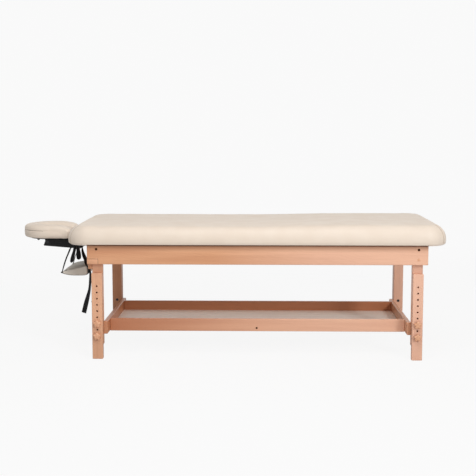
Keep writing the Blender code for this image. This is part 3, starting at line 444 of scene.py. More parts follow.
dark_steel = blackened("blackened_steel", (0.050, 0.050, 0.053, 1), 0.42)
bronzed_steel = blackened("bronzed_steel", (0.090, 0.032, 0.012, 1), 0.50)
beech_turned = beech("beech_turned", 1, (0, 0, 0.3), (0.0, 0.0), (0.10, 0.10), end_grain=0.08)
COUNTERBORE_DEPTH = 0.010
UPPER_BOLT_DROP = 0.0174
LOWER_PLUG_RISE = 0.0250
BOLT_HEAD_HEIGHT = 0.0045
BOLT_HEAD_RADIUS = 0.0058
BOLT_HEAD_EASES = ((0.0008, 0), (0, 0.0008))
BOLT_SOCKET_RADIUS, BOLT_SOCKET_DEPTH = 0.0024, 0.003
PLUG_RADIUS = 0.0062
PLUG_DOME = 0.0010
apron_low, apron_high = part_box("apron_front")
for corner in CORNERS:
    x = centre_of("lower_leg_" + corner)[0]
    out = SIDES[corner.split("_")[1]]
    face = apron_low[1] if out < 0 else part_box("apron_back")[1][1]
    seat = face - out * COUNTERBORE_DEPTH
    z = apron_high[2] - UPPER_BOLT_DROP
    head = socket_head(0, BOLT_HEAD_HEIGHT, BOLT_HEAD_RADIUS, BOLT_HEAD_EASES, BOLT_SOCKET_RADIUS,
                       BOLT_SOCKET_DEPTH)
    bolt = turned((x, seat, z), (x, face, z), head)
    make("frame_bolt_" + corner, bolt, bronzed_steel, "table")
    z = apron_low[2] + LOWER_PLUG_RISE
    rim = COUNTERBORE_DEPTH - PLUG_DOME
    dome = [(0.001, PLUG_RADIUS, 0), (rim, PLUG_RADIUS, 0), (rim + 0.0006, PLUG_RADIUS - 0.0006, 0),
            (rim + PLUG_DOME, PLUG_RADIUS - 0.0030, 0)]
    plug = turned((x, seat, z), (x, face, z), dome)
    make("apron_plug_" + corner, plug, beech_turned, "table")
SCREW_SHIFT = -0.001
SCREW_RISE = 0.0162
SCREW_RADIUS = 0.0048
for side, out in SIDES.items():
    low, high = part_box("tray_board_" + side)
    face = low[1] if out < 0 else high[1]
    x, z = centre_of("tray_board_" + side)[0] + SCREW_SHIFT, low[2] + SCREW_RISE
    head = [(0.0001, SCREW_RADIUS, 0), (0.0006, SCREW_RADIUS, 0), (0.0011, SCREW_RADIUS - 0.0008, 0),
            (0.0011, 0.0014, 4), (0.0004, 0.0010, 4)]
    screw = turned((x, face, z), (x, face + out, z), head)
    make("tray_screw_" + side, screw, bronzed_steel, "table")

# Corner splice: at the head end a short block of redder beech is let into the lower corner of the
# front apron, flush with its face, and a fine dark glue line runs round it.
SPLICE_LENGTH = 0.0515
SPLICE_HEIGHT = 0.0248
SPLICE_GLUE_LINE = 0.0016
SPLICE_PROUD = 0.0003
GLUE_PROUD = 0.00012
SPLICE_END_INSET = 0.0010
PLATE_LIFT = 0.00004
GLUE_DARK = (0.10, 0.045, 0.022, 1)
GLUE_LIGHT = (0.16, 0.075, 0.038, 1)
beech_splice = beech("beech_splice", 0, (0.2, 0, 0.3), (0.32, 0.32), (0.06, 0.06))
glue, glue_shader, glue_point = finish("glue_line", 0.5)
glue_patches = glue_point.clouds(scale=300, detail=3)
glue_patches.blend(GLUE_DARK, GLUE_LIGHT).feed(glue_shader["Base Color"])


def splice_plate(margin, proud):
    """A thin plate in the apron's lower corner, with a margin round the block and its rim eased."""
    low_x, low_z = apron_low[0] + SPLICE_END_INSET, apron_low[2] + SPLICE_END_INSET
    high_x = apron_low[0] + SPLICE_LENGTH + margin
    high_z = apron_low[2] + SPLICE_HEIGHT + margin
    rings = []
    for inset, out in ((0, PLATE_LIFT), (0, proud * 0.6), (proud * 0.8, proud)):
        y = apron_low[1] - out
        rings.append([(low_x + inset, y, low_z + inset), (high_x - inset, y, low_z + inset),
                      (high_x - inset, y, high_z - inset), (low_x + inset, y, high_z - inset)])
    return skin(rings)


make("splice_glue_line", splice_plate(SPLICE_GLUE_LINE, GLUE_PROUD), glue, "table")
make("splice_block", splice_plate(0, SPLICE_PROUD), beech_splice, "table")

# Knobs and bolts: five-lobed beech knobs, shaped all round and lacquered, each glued on a steel
# bolt that runs through both leg boards into a thin nut on the inner board.
KNOB_LOBES = 5
KNOB_SIDES = 80
KNOB_RADIUS = 0.0185
KNOB_LOBE_DEPTH = 0.0052
KNOB_NECK = 0.0105
KNOB_LENGTH = 0.018
KNOB_GAP = 0.0003
BOLT_RADIUS = 0.004
BOLT_EASES = ((0, 0.0006), (0.0006, 0.0001))
NUT_RADIUS = 0.0070
NUT_BORE = 0.0046
# Distance from the leg, radius, and how far the lobes are carved there
KNOB_PROFILE = (
    (0.0000, 0.0060, 0.0), (0.0000, KNOB_NECK - 0.0008, 0.0), (0.0008, KNOB_NECK, 0.0),
    (0.0040, KNOB_NECK, 0.0), (0.0050, KNOB_NECK + 0.0030, 0.35),
    (0.0056, KNOB_RADIUS - 0.0030, 0.85), (0.0068, KNOB_RADIUS - 0.0008, 1.0),
    (0.0085, KNOB_RADIUS, 1.0), (0.0130, KNOB_RADIUS, 1.0), (0.0155, KNOB_RADIUS - 0.0009, 1.0),
    (0.0172, KNOB_RADIUS - 0.0032, 0.9), (KNOB_LENGTH, KNOB_RADIUS - 0.0072, 0.6),
    (KNOB_LENGTH + 0.0003, KNOB_RADIUS - 0.0130, 0.2), (KNOB_LENGTH + 0.0003, 0.0015, 0.0),
)


def knob_shape(x, face, z, out):
    """The lobes are carved fully at mid length and softly at both rims."""
    rings = []
    for distance, radius, carved in KNOB_PROFILE:
        ring = []
        for i in range(KNOB_SIDES):
            angle = math.tau * i / KNOB_SIDES
            valley = (1 - math.cos(KNOB_LOBES * angle)) / 2
            reach = radius - KNOB_LOBE_DEPTH * carved * valley ** 1.5
            ring.append((x + reach * math.sin(angle), face + out * (KNOB_GAP + distance),
                         z + reach * math.cos(angle)))
        rings.append(ring)
    return skin(rings)


for corner in CORNERS:
    out = SIDES[corner.split("_")[1]]
    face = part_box("lower_leg_" + corner)[0 if out < 0 else 1][1]
    for hole in (1, 3):
        name = f"{corner}_{hole}"
        low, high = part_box("leg_bolt_" + name)
        x, _, z = centre_of("leg_bolt_" + name)
        make("star_knob_" + name, knob_shape(x, face, z, out), beech_turned, "knob_" + name,
             ["leg_knob_" + name])
        rod = rod_profile(high[1] - low[1], BOLT_RADIUS, BOLT_EASES)
        bolt = turned((x, low[1], z), (x, high[1], z), rod)
        make("knob_bolt_" + name, bolt, dark_steel, "knob_" + name, ["leg_bolt_" + name])
        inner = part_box("upper_leg_" + corner)[1 if out < 0 else 0][1]
        disc = [(0.0001, NUT_BORE, 0), (0.0001, NUT_RADIUS, 0), (0.0008, NUT_RADIUS, 0),
                (0.0011, NUT_RADIUS - 0.0004, 0), (0.0011, NUT_BORE, 0)]
        nut = turned((x, inner, z), (x, inner - out, z), disc)
        make("leg_nut_" + name, nut, dark_steel, "table")


# The table cushion: high-density foam under smooth cream upholstery vinyl, drawn down round the
# deck and stapled below. The vinyl is tight on top, rolls over the edge and gathers at the corners.
def rounded_loop(half_x, half_y, radius_x, radius_y, z, counts, centre):
    """Points round a rounded rectangle, with equal counts on every loop of one cushion."""
    along, across, corner = counts
    turns = ((1, 1, along), (-1, 1, across), (-1, -1, along), (1, -1, across))
    arcs = []
    for quarter, (sign_x, sign_y, _) in enumerate(turns):
        arc = []
        middle_x = centre[0] + sign_x * (half_x - radius_x)
        middle_y = centre[1] + sign_y * (half_y - radius_y)
        for i in range(corner + 1):
            angle = math.pi / 2 * (quarter + i / corner)
            arc.append(Vector((middle_x + radius_x * math.cos(angle),
                               middle_y + radius_y * math.sin(angle), z)))
        arcs.append(arc)
    loop = []
    for quarter, (_, _, count) in enumerate(turns):
        arc, following = arcs[quarter], arcs[(quarter + 1) % 4]
        loop += arc[:-1] + [arc[-1].lerp(following[0], i / count) for i in range(count)]
    return loop


def fill_loop(shape, loop, counts):
    """Fills a loop of vertices with a grid that runs from corner to corner."""
    along, across, corner = counts
    columns, rows = along + corner, across + corner
    first = corner // 2

    def at(index):
        return loop[(first + index) % len(loop)]

    far_side = columns + rows
    grid = {}
    for i in range(columns + 1):
        for j in range(rows + 1):
            if j == 0:
                grid[i, j] = at(i)
            elif i == columns:
                grid[i, j] = at(columns + j)
            elif j == rows:
                grid[i, j] = at(far_side + columns - i)
            elif i == 0:
                grid[i, j] = at(far_side + columns + rows - j)
    for i in range(1, columns):
        for j in range(1, rows):
            u, v = i / columns, j / rows
            spot = (grid[i, 0].co * (1 - v) + grid[i, rows].co * v + grid[0, j].co * (1 - u)
                    + grid[columns, j].co * u - grid[0, 0].co * (1 - u) * (1 - v)
                    - grid[columns, 0].co * u * (1 - v) - grid[0, rows].co * (1 - u) * v
                    - grid[columns, rows].co * u * v)
            grid[i, j] = shape.verts.new(spot)
    for i in range(columns):
        for j in range(rows):
            shape.faces.new((grid[i, j], grid[i + 1, j], grid[i + 1, j + 1], grid[i, j + 1]))


def slab(loops, counts):
    """A cushion from loops that run from its underside, round its edge and in over its top."""
    shape = bmesh.new()
    rows = [[shape.verts.new(point) for point in loop] for loop in loops]
    join(shape, rows)
    fill_loop(shape, rows[0], counts)
    fill_loop(shape, rows[-1], counts)
    return shape


def puff(piece, held, pressure, cap, slack, frames=14):
    """Lets the cover swell as cloth under pressure, with the held vertices fixed and moves capped."""
    pins = piece.vertex_groups.new(name="held")
    pins.add(held, 1.0, 'REPLACE')
    rest = [vertex.co.copy() for vertex in piece.data.vertices]
    cloth = piece.modifiers.new("cloth", 'CLOTH')
    cloth.settings.effector_weights.gravity = 0
    cloth.settings.use_pressure = True
    cloth.settings.uniform_pressure_force = pressure
    cloth.settings.quality = 6
    cloth.settings.shrink_min = -slack
    cloth.settings.vertex_group_mass = "held"
    cloth.point_cache.frame_end = frames
    for step in range(1, frames + 1):
        bpy.context.scene.frame_set(step)
    settled = piece.evaluated_get(bpy.context.evaluated_depsgraph_get()).data
    moved = [vertex.co.copy() for vertex in settled.vertices]
    piece.modifiers.remove(cloth)
    piece.vertex_groups.remove(pins)
    bpy.context.scene.frame_set(1)
    for vertex, old, new in zip(piece.data.vertices, rest, moved):
        move = new - old
        vertex.co = old + move * min(1, cap / max(move.length, 1e-9))


def round_off(piece):
    """One subdivision, which takes the facets out of a soft piece."""
    smoother = piece.modifiers.new("smooth", 'SUBSURF')
    smoother.levels = smoother.render_levels = 1


def vinyl(name, colour, deep, rough):
    """Upholstery vinyl: a pebbled leather grain, faint mottling and a soft sheen."""
    look, shader, point = finish(name, rough)
    mottle = point.clouds(scale=11, detail=4).step(0.25, 0.75)
    pebbles = point.cells(780, 'DISTANCE_TO_EDGE').step(0.0, 0.22)
    fine = point.clouds(scale=2400, detail=2)
    # The grain's crevices take the deeper colour: painted shade in them.
    (mottle * 0.7 + (1 - pebbles) * 0.3).blend(colour, deep).feed(shader["Base Color"])
    (mottle * 0.08 + (rough - 0.04)).feed(shader["Roughness"])
    (pebbles * 0.7 + fine * 0.3).bump(0.30, 0.0003).feed(shader["Normal"])
    return look


cream_vinyl = vinyl("cream_vinyl", (0.790, 0.682, 0.576, 1), (0.752, 0.634, 0.524, 1), 0.48)
# Steps along a side, along an end and round a corner
CUSHION_COUNTS = (134, 44, 12)
TUCK_STEPS = 7
EDGE_STEPS = 14
CROWN_STEPS = 12
STAPLED_LOOPS = 3
CUSHION_CORNER = 0.110
CUSHION_LEAST_CORNER = 0.030
CUSHION_WIDEST_RISE = 0.027
CUSHION_EDGE_RISE = 0.0895
CUSHION_END_ROUND = 0.062
CUSHION_SIDE_ROUND = 0.044
CUSHION_TUCK = 0.007
CUSHION_CROWN = 0.0045
CUSHION_CROWN_RUN = 0.190
CUSHION_SWELL = 0.0015
# The top rises a little toward the foot end
CUSHION_FOOT_RISE = 0.0065
CUSHION_RISE_RUN = (0.05, 0.62)
DECK_RIM = 0.0157
DECK_RECESS = 0.0123
SHADOW_STRIP_HEIGHT = 0.0042
SHADOW_STRIP_INSET = 0.0128
PLEATS_PER_QUARTER = 6.5
PLEAT_DEPTH = 0.0022
PLEAT_RISE = 0.045
FOAM_WAVE = 0.0006
cushion_low, cushion_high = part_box("table_cushion")
cushion_centre = (centre_of("table_cushion")[0], 0)
cushion_x = (cushion_high[0] - cushion_low[0]) / 2
cushion_y = (cushion_high[1] - cushion_low[1]) / 2


def cushion_loop(inset_x, inset_y, z):
    """A loop round the cushion, drawn in at its ends and sides."""
    return rounded_loop(cushion_x - inset_x, cushion_y - inset_y,
                        max(CUSHION_CORNER - inset_x, CUSHION_LEAST_CORNER),
                        max(CUSHION_CORNER - inset_y, CUSHION_LEAST_CORNER),
                        z, CUSHION_COUNTS, cushion_centre)


widest = cushion_low[2] + CUSHION_WIDEST_RISE
edge = cushion_low[2] + CUSHION_EDGE_RISE - CUSHION_SWELL
cushion_loops = [cushion_loop(DECK_RIM, DECK_RIM, cushion_low[2] + DECK_RECESS),
                 cushion_loop(DECK_RIM, DECK_RIM, cushion_low[2] + SHADOW_STRIP_HEIGHT)]
for i in range(TUCK_STEPS + 1):
    angle = math.pi / 2 * i / TUCK_STEPS
    tuck = CUSHION_TUCK * (1 - math.sin(angle)) + CUSHION_SWELL
    drop = (CUSHION_WIDEST_RISE - SHADOW_STRIP_HEIGHT) * math.cos(angle)
    cushion_loops.append(cushion_loop(tuck, tuck, widest - drop))
for i in range(1, EDGE_STEPS + 1):
    angle = math.pi / 2 * i / EDGE_STEPS
    cushion_loops.append(cushion_loop(CUSHION_END_ROUND * (1 - math.cos(angle)) + CUSHION_SWELL,
                                      CUSHION_SIDE_ROUND * (1 - math.cos(angle)) + CUSHION_SWELL,
                                      widest + (edge - widest) * math.sin(angle)))
for i in range(1, CROWN_STEPS + 1):
    run = CUSHION_CROWN_RUN * i / CROWN_STEPS
    cushion_loops.append(cushion_loop(CUSHION_END_ROUND + run, CUSHION_SIDE_ROUND + run,
                                      edge + CUSHION_CROWN * math.sin(math.pi / 2 * i / CROWN_STEPS)))
table_cushion = make("padded_top", slab(cushion_loops, CUSHION_COUNTS), cream_vinyl, "table",
                     ["table_cushion"], 60)
stapled = list(range(STAPLED_LOOPS * len(cushion_loops[0])))
puff(table_cushion, stapled, pressure=3.0, cap=0.003, slack=0.004)
for vertex in table_cushion.data.vertices:
    x, y, z = vertex.co
    footward = min(1, max(0, (x - CUSHION_RISE_RUN[0]) / (CUSHION_RISE_RUN[1] - CUSHION_RISE_RUN[0])))
    upward = max(0, z - widest) / (edge - widest)
    vertex.co.z += CUSHION_FOOT_RISE * footward ** 2 * (3 - 2 * footward) * min(1, upward)
    reach_x = abs(x - cushion_centre[0]) - (cushion_x - CUSHION_CORNER)
    reach_y = abs(y) - (cushion_y - CUSHION_CORNER)
    if reach_x > 0 and reach_y > 0 and z > cushion_low[2] + 0.001:
        angle = math.atan2(reach_y, reach_x)
        lower = max(0.0, 1 - (z - cushion_low[2]) / PLEAT_RISE)
        pleat = 1 - abs(math.sin(angle * 2 * PLEATS_PER_QUARTER)) ** 0.6
        outward = Vector((math.copysign(math.cos(angle), x - cushion_centre[0]),
                          math.copysign(math.sin(angle), y), 0))
        vertex.co -= outward * PLEAT_DEPTH * lower * pleat * math.sin(2 * angle) ** 2
    if z > cushion_low[2] + 0.02:
        vertex.co += vertex.normal * FOAM_WAVE * noise.noise(Vector((x * 6, y * 9, z * 14)))
round_off(table_cushion)

# Corner welts: at each corner the cover's side and end panels are sewn together over a thin cord,
# which follows the cushion from its underside to the rim of its top.
WELT_STEP = 5
WELT_RADIUS = 0.0010
welt_vinyl = vinyl("welt_vinyl", (0.560, 0.460, 0.370, 1), (0.500, 0.400, 0.310, 1), 0.55)


def rope(path, radius, sides=6):
    """A thin round cord with its middle line through the points."""
    rings = []
    for number, point in enumerate(path):
        ahead = path[min(number + 1, len(path) - 1)] - path[max(number - 1, 0)]
        turn = ahead.to_track_quat('Z', 'X')
        rings.append([point + turn @ Vector((radius * math.cos(math.tau * i / sides),
                                             radius * math.sin(math.tau * i / sides), 0))
                      for i in range(sides)])
    return skin(rings)


# The loops of the cushion that the cord follows, and the columns where its four corners start
WELT_ROWS = range(3, 22)
loop_size = len(cushion_loops[0])
along, across, corner = CUSHION_COUNTS
corner_starts = [0, corner + along, 2 * corner + along + across, 3 * corner + 2 * along + across]
for number, start in enumerate(corner_starts, 1):
    column = start + (WELT_STEP if number % 2 else corner - WELT_STEP)
    corner_path = [table_cushion.data.vertices[row * loop_size + column].co.copy()
                   for row in WELT_ROWS]
    make(f"corner_welt_{number}", rope(corner_path, WELT_RADIUS), welt_vinyl, "table")

# Shadow strip: along the frame's long sides a thin dark strip stands back under the cushion's
# edge. It is painted shadow, a dark piece put where there is only shade, and shows as a thin dark
# line above the frame.
SHADOW_STRIP_DARK = (0.085, 0.036, 0.017, 1)
SHADOW_STRIP_LIGHT = (0.150, 0.068, 0.034, 1)
SHADOW_STRIP_PLAY = 0.0002
# A dark brown with faint streaks: painted shadow in the gap under the cushion
shadow_strip_look, shadow_strip_shader, shadow_strip_point = finish("painted_shadow_strip", 0.6)
streaks = grain(shadow_strip_point, 0, FIBRE_WIDTH, LINE_LENGTH).clouds(detail=3)
streaks.blend(SHADOW_STRIP_DARK, SHADOW_STRIP_LIGHT).feed(shadow_strip_shader["Base Color"])
streaks.bump(0.15, 0.0003).feed(shadow_strip_shader["Normal"])
low_z, high_z = cushion_low[2] + SHADOW_STRIP_PLAY, cushion_low[2] + SHADOW_STRIP_HEIGHT - SHADOW_STRIP_PLAY
for side, out in SIDES.items():
    near, far = out * (cushion_y - SHADOW_STRIP_INSET), out * (cushion_y - DECK_RIM + SHADOW_STRIP_PLAY)
    strip = skin([[(x, near, low_z), (x, near, high_z), (x, far, high_z), (x, far, low_z)]
                  for x in (apron_low[0], apron_high[0])])
    make("dark_gap_strip_" + side, strip, shadow_strip_look, "table")


# Posts and sockets: two black steel posts plug into flanged plastic bushings in the head apron.
# The crossbar is moulded black plastic, and a steel rod through its ears carries the arms.
def black(name, colour, rough, texture):
    """Moulded or coated black finish with a fine spark-eroded texture and faint rub marks."""
    look, shader, point = finish(name, rough)
    shader["Specular IOR Level"].default_value = 0.22
    rub = point.clouds(scale=60, detail=5, roughness=0.65).step(0.45, 0.8)
    rub.blend(colour, [part * 2.2 + 0.003 for part in colour[:3]] + [1]).feed(shader["Base Color"])
    (rub * 0.14 + (rough - 0.05)).feed(shader["Roughness"])
    point.clouds(scale=texture, detail=3).bump(0.22, 0.0003).feed(shader["Normal"])
    return look


black_plastic = black("black_plastic", (0.0050, 0.0050, 0.0056, 1), 0.42, 1500)
black_coat = black("black_powder_coat", (0.0065, 0.0065, 0.0072, 1), 0.36, 2600)
dress(black_plastic, "post_socket_front", "post_socket_back", "headrest_crossbar", "headrest_arm_front",
      "headrest_arm_back", "face_platform", "strap_buckle_front", "strap_buckle_back")


def round_bar(name, node, look, body, axis, ease=0.0008):
    """A smooth round bar in place of a faceted one, with its ends eased."""
    low, high = Vector(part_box(node)[0]), Vector(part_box(node)[1])
    start = (low + high) / 2
    end = start.copy()
    start[axis], end[axis] = low[axis], high[axis]
    radius = (high - low)[(axis + 1) % 3] / 2
    eases = ((0, ease), (ease * 0.3, ease * 0.3), (ease, 0))
    profile = rod_profile((end - start).length, radius, eases)
    return make(name, turned(start, end, profile, 48), look, body, [node])


for side in SIDES:
    round_bar("post_" + side, "headrest_post_" + side, black_coat, "headrest_base", 0)
round_bar("hinge_rod", "headrest_hinge_rod", dark_steel, "headrest_base", 1)
round_bar("spacer_rod", "arm_spacer", black_coat, "headrest_arms", 1)

# Levers: two black plastic cam levers hang on the hinge rod. Each has a round hub with the cam, a
# waist and a broader paddle for the fingers, moulded with rounded edges.
LEVER_SIDES = 10
LEVER_ROUND = 0.0022
# Shares of the lever's length from its hub, and of its half width there
LEVER_SHARES = ((0.10, 0.93), (0.24, 0.72), (0.40, 0.66), (0.58, 0.84), (0.74, 0.95), (0.88, 0.86))
# From the hub to the tip, as (x, z), and then the radius of the hub and half the paddle's width
ARM_LEVER_RUN = Vector((-0.0246, -0.0938))
ARM_LEVER_WIDTHS = (0.0095, 0.0090)
POST_LEVER_RUN = Vector((0.0058, -0.0845))
POST_LEVER_WIDTHS = (0.0100, 0.0120)


def lever(name, node, hub, run, hub_radius, paddle_half):
    """A flat lever in place of a node, which is named like its body. Hub and run are (x, z)."""
    low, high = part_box(node)
    along, across = run.normalized(), Vector((run.y, -run.x)).normalized()
    outline = []
    for i in range(LEVER_SIDES + 1):
        angle = math.pi * (1 - i / LEVER_SIDES)
        outline.append(hub + hub_radius * (across * math.cos(angle) - along * math.sin(angle)))
    flank = [(share * run.length, hub_radius + (paddle_half - hub_radius) * min(1, share * 2), width)
             for share, width in LEVER_SHARES]
    outline += [hub + along * reach + across * half * width for reach, half, width in flank]
    last_reach, last_half = flank[-1][0], flank[-1][1] * flank[-1][2]
    for i in range(1, LEVER_SIDES):
        angle = math.pi * i / LEVER_SIDES
        outline.append(hub + along * (last_reach + (run.length - last_reach) * math.sin(angle))
                       + across * last_half * math.cos(angle))
    outline += [hub + along * reach - across * half * width for reach, half, width in reversed(flank)]
    middle = sum(outline, Vector((0, 0))) / len(outline)
    rings = []
    for y, inset in ((low[1], LEVER_ROUND), (low[1] + LEVER_ROUND * 0.3, LEVER_ROUND * 0.3),
                     (low[1] + LEVER_ROUND, 0), (high[1] - LEVER_ROUND, 0),
                     (high[1] - LEVER_ROUND * 0.3, LEVER_ROUND * 0.3), (high[1], LEVER_ROUND)):
        ring = []
        for point in outline:
            inward = middle - point
            moved = point + inward * min(0.5, inset / max(inward.length, 0.001))
            ring.append((moved.x, y, moved.y))
        rings.append(ring)
    return make(name, skin(rings), black_plastic, node, [node], 40)


rod_x, _, rod_z = centre_of("headrest_hinge_rod")
rod_middle = Vector((rod_x, rod_z))
lever("arm_cam_lever", "arm_lever", rod_middle, ARM_LEVER_RUN, *ARM_LEVER_WIDTHS)
lever("post_cam_lever", "post_lever", rod_middle, POST_LEVER_RUN, *POST_LEVER_WIDTHS)

# Tilt pins: blackened steel pins with flat socket heads, put in from both outer faces of the arms.
# The face platform tilts on them.
PIN_RADIUS = 0.004
PIN_HEAD_THICKNESS = 0.003
PIN_HEAD_EASES = ((0.001, 0), (0.0003, 0.0006), (0, 0.0018))
PIN_SOCKET_RADIUS, PIN_SOCKET_DEPTH = 0.0025, 0.0016
for side in SIDES:
    low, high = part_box("tilt_pin_" + side)
    x, _, z = centre_of("tilt_pin_" + side)
    start, end = (high[1], low[1]) if side == "front" else (low[1], high[1])
    length = abs(end - start)
    neck = length - PIN_HEAD_THICKNESS
    shank = [(0, PIN_RADIUS - 0.0006, 0), (0.0006, PIN_RADIUS, 0), (neck, PIN_RADIUS, 0)]
    head = socket_head(neck, length, (high[2] - low[2]) / 2, PIN_HEAD_EASES, PIN_SOCKET_RADIUS,
                       PIN_SOCKET_DEPTH)
    pin = turned((x, start, z), (x, end, z), shank + head)
    make("pivot_pin_" + side, pin, dark_steel, "headrest_arms", ["tilt_pin_" + side])

# The face cushion: a horseshoe of foam in the same cream vinyl. A seam joins its top panel to the
# lower band, deep round the bend and shallow along the sides. The band sags round the platform's
# edge, and the open ends slope down to the table.
SIDE_SEAM_SHARE = 0.35
SEAM_RADIUS = 0.0012
SEAM_STOP = 0.010
FACE_HALF_WIDTH = 0.140
FACE_GAP_HALF_WIDTH = 0.050
FACE_END_ROUND = 0.026
FACE_END_SLOPE = 0.100
FACE_END_DROP = 0.018
FACE_SWELL = 0.0015
FACE_BEND_STEPS = 44
FACE_SIDE_STEPS = 14
FACE_END_STEPS = 8
# Shares of the section's half width, outward, and of its height, round from the underside
FACE_SECTION_SHARES = (
    (-0.60, 0.00), (-0.20, 0.00), (0.20, 0.00), (0.48, -0.004), (0.62, -0.022), (0.78, -0.022),
    (0.90, 0.03), (0.965, 0.13), (0.99, 0.24), (1.00, 0.34), (1.005, 0.44), (1.00, 0.52),
    (0.985, 0.557), (0.95, 0.57), (0.985, 0.583), (1.00, 0.61), (0.995, 0.67), (0.98, 0.73),
    (0.95, 0.80), (0.89, 0.87), (0.80, 0.93), (0.64, 0.975), (0.45, 1.00), (0.22, 1.005),
    (0.00, 1.005), (-0.22, 1.00), (-0.45, 0.99), (-0.63, 0.96), (-0.78, 0.91), (-0.88, 0.85),
    (-0.95, 0.76), (-0.99, 0.66), (-1.00, 0.55), (-1.00, 0.42), (-1.00, 0.30), (-0.97, 0.19),
    (-0.92, 0.12), (-0.86, 0.06), (-0.75, 0.02),
)
SEAM_POINTS = (12, 13, 14)
UNDERSIDE_POINTS = 5
face_low, face_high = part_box("face_cushion")
bend_x = face_low[0] + FACE_HALF_WIDTH
open_x = face_high[0]
face_middle = (FACE_HALF_WIDTH + FACE_GAP_HALF_WIDTH) / 2
# One side from its open end to the bend, as (x, how far the section is drawn in)
straight = []
for i in range(FACE_END_STEPS):
    angle = math.pi / 2 * i / FACE_END_STEPS
    straight.append((open_x - FACE_END_ROUND * (1 - math.cos(angle)),
                     FACE_END_ROUND * (1 - math.sin(angle))))
straight_start = open_x - FACE_END_ROUND
for i in range(FACE_SIDE_STEPS):
    straight.append((straight_start + (bend_x - straight_start) * i / FACE_SIDE_STEPS, 0))
course = [(Vector((x, -face_middle, 0)), Vector((0, -1, 0)), inset) for x, inset in straight]
for i in range(FACE_BEND_STEPS + 1):
    angle = math.pi / 2 + math.pi * (1 - i / FACE_BEND_STEPS)
    outward = Vector((math.cos(angle), math.sin(angle), 0))
    course.append((Vector((bend_x, 0, 0)) + outward * face_middle, outward, 0))
course += [(Vector((x, face_middle, 0)), Vector((0, 1, 0)), inset) for x, inset in reversed(straight)]
half_width = (FACE_HALF_WIDTH - FACE_GAP_HALF_WIDTH) / 2 - FACE_SWELL
face_rings = []
for middle, outward, inset in course:
    slope = max(0, 1 - (open_x - middle.x) / FACE_END_SLOPE)
    height = face_high[2] - face_low[2] - FACE_END_DROP * slope ** 2 - 2 * inset
    bend_share = min(1, max(0, (bend_x + 0.02 - middle.x) / 0.04))
    seam_share = SIDE_SEAM_SHARE + (1 - SIDE_SEAM_SHARE) * bend_share
    ring = []
    for number, (across, up) in enumerate(FACE_SECTION_SHARES):
        if number in SEAM_POINTS:
            across = 1 - (1 - across) * seam_share
        z = face_low[2] + inset + height * up
        ring.append(middle + outward * (half_width - inset) * across + Vector((0, 0, z)))
    face_rings.append(ring)
face_cushion = make("horseshoe_cushion", skin(face_rings), cream_vinyl, "face_rest",
                    ["face_cushion"], 60)
section_size = len(FACE_SECTION_SHARES)
still = [index for index in range(len(face_rings) * section_size)
         if index % section_size in SEAM_POINTS or index % section_size < UNDERSIDE_POINTS]
puff(face_cushion, still, pressure=3.0, cap=0.003, slack=0.006)
seam_path = [face_cushion.data.vertices[number * section_size + SEAM_POINTS[1]].co.copy()
             for number in range(len(course)) if course[number][0].x < bend_x - SEAM_STOP]
round_off(face_cushion)
# A thin dark brown cord lies in the seam's crease round the bend: painted shade, a dark piece where the
# crease is shaded.
seam_shade_cord = vinyl("seam_shade_cord", (0.150, 0.110, 0.080, 1), (0.110, 0.080, 0.055, 1), 0.7)
make("seam_shadow_cord", rope(seam_path, SEAM_RADIUS), seam_shade_cord, "face_rest")

# Platform bolts: black bolts screwed up through the platform into the board inside the face
# cushion, with flat button heads near the table and tall cap heads at the bend.
PLATFORM_BOLT_RADIUS = 0.0058
PLATFORM_BOLT_EASES = ((0.0022, 0), (0.0010, 0.0008), (0, 0.0024))
PLATFORM_SOCKET_RADIUS, PLATFORM_SOCKET_DEPTH = 0.0016, 0.0018
BEND_BOLT_HEIGHT = 0.0095
SIDE_BOLT_HEIGHT = 0.0032
PLATFORM_BOLT_ANGLE = math.radians(137)
PLATFORM_BOLT_SPREAD = 0.0827
PLATFORM_BOLT_END = 0.045
PLATFORM_THICKNESS = 0.006
under_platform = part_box("face_platform")[1][2] - PLATFORM_THICKNESS
bolt_places = []
for sign in (-1, 1):
    bolt_places.append((bend_x + PLATFORM_BOLT_SPREAD * math.cos(PLATFORM_BOLT_ANGLE),
                        sign * PLATFORM_BOLT_SPREAD * math.sin(PLATFORM_BOLT_ANGLE), BEND_BOLT_HEIGHT))
    bolt_places.append((open_x - PLATFORM_BOLT_END, sign * PLATFORM_BOLT_SPREAD, SIDE_BOLT_HEIGHT))
for number, (x, y, height) in enumerate(bolt_places, 1):
    head = socket_head(0.0001, height, PLATFORM_BOLT_RADIUS, PLATFORM_BOLT_EASES,
                       PLATFORM_SOCKET_RADIUS, PLATFORM_SOCKET_DEPTH)
    bolt = turned((x, y, under_platform), (x, y, 0), head)
    make(f"platform_bolt_{number}", bolt, dark_steel, "face_rest")


# The arm sling: a crowned grey pad held in two loops of black webbing. Each loop hangs from the
# hinge rod, goes under the pad and up to the crossbar, and a ladder buckle sets its length.
def smooth_path(points, steps):
    """A Catmull-Rom curve through points of any dimension."""
    points = [Vector(point) for point in points]
    run_in_and_out = [points[0] * 2 - points[1], *points, points[-1] * 2 - points[-2]]
    path = []
    for a, b, c, d in zip(run_in_and_out, run_in_and_out[1:], run_in_and_out[2:], run_in_and_out[3:]):
        for i in range(steps):
            t = i / steps
            path.append((b * 2 + (c - a) * t + (a * 2 - b * 5 + c * 4 - d) * t ** 2
                         + (b * 3 - a - c * 3 + d) * t ** 3) / 2)
    return path + [points[-1]]


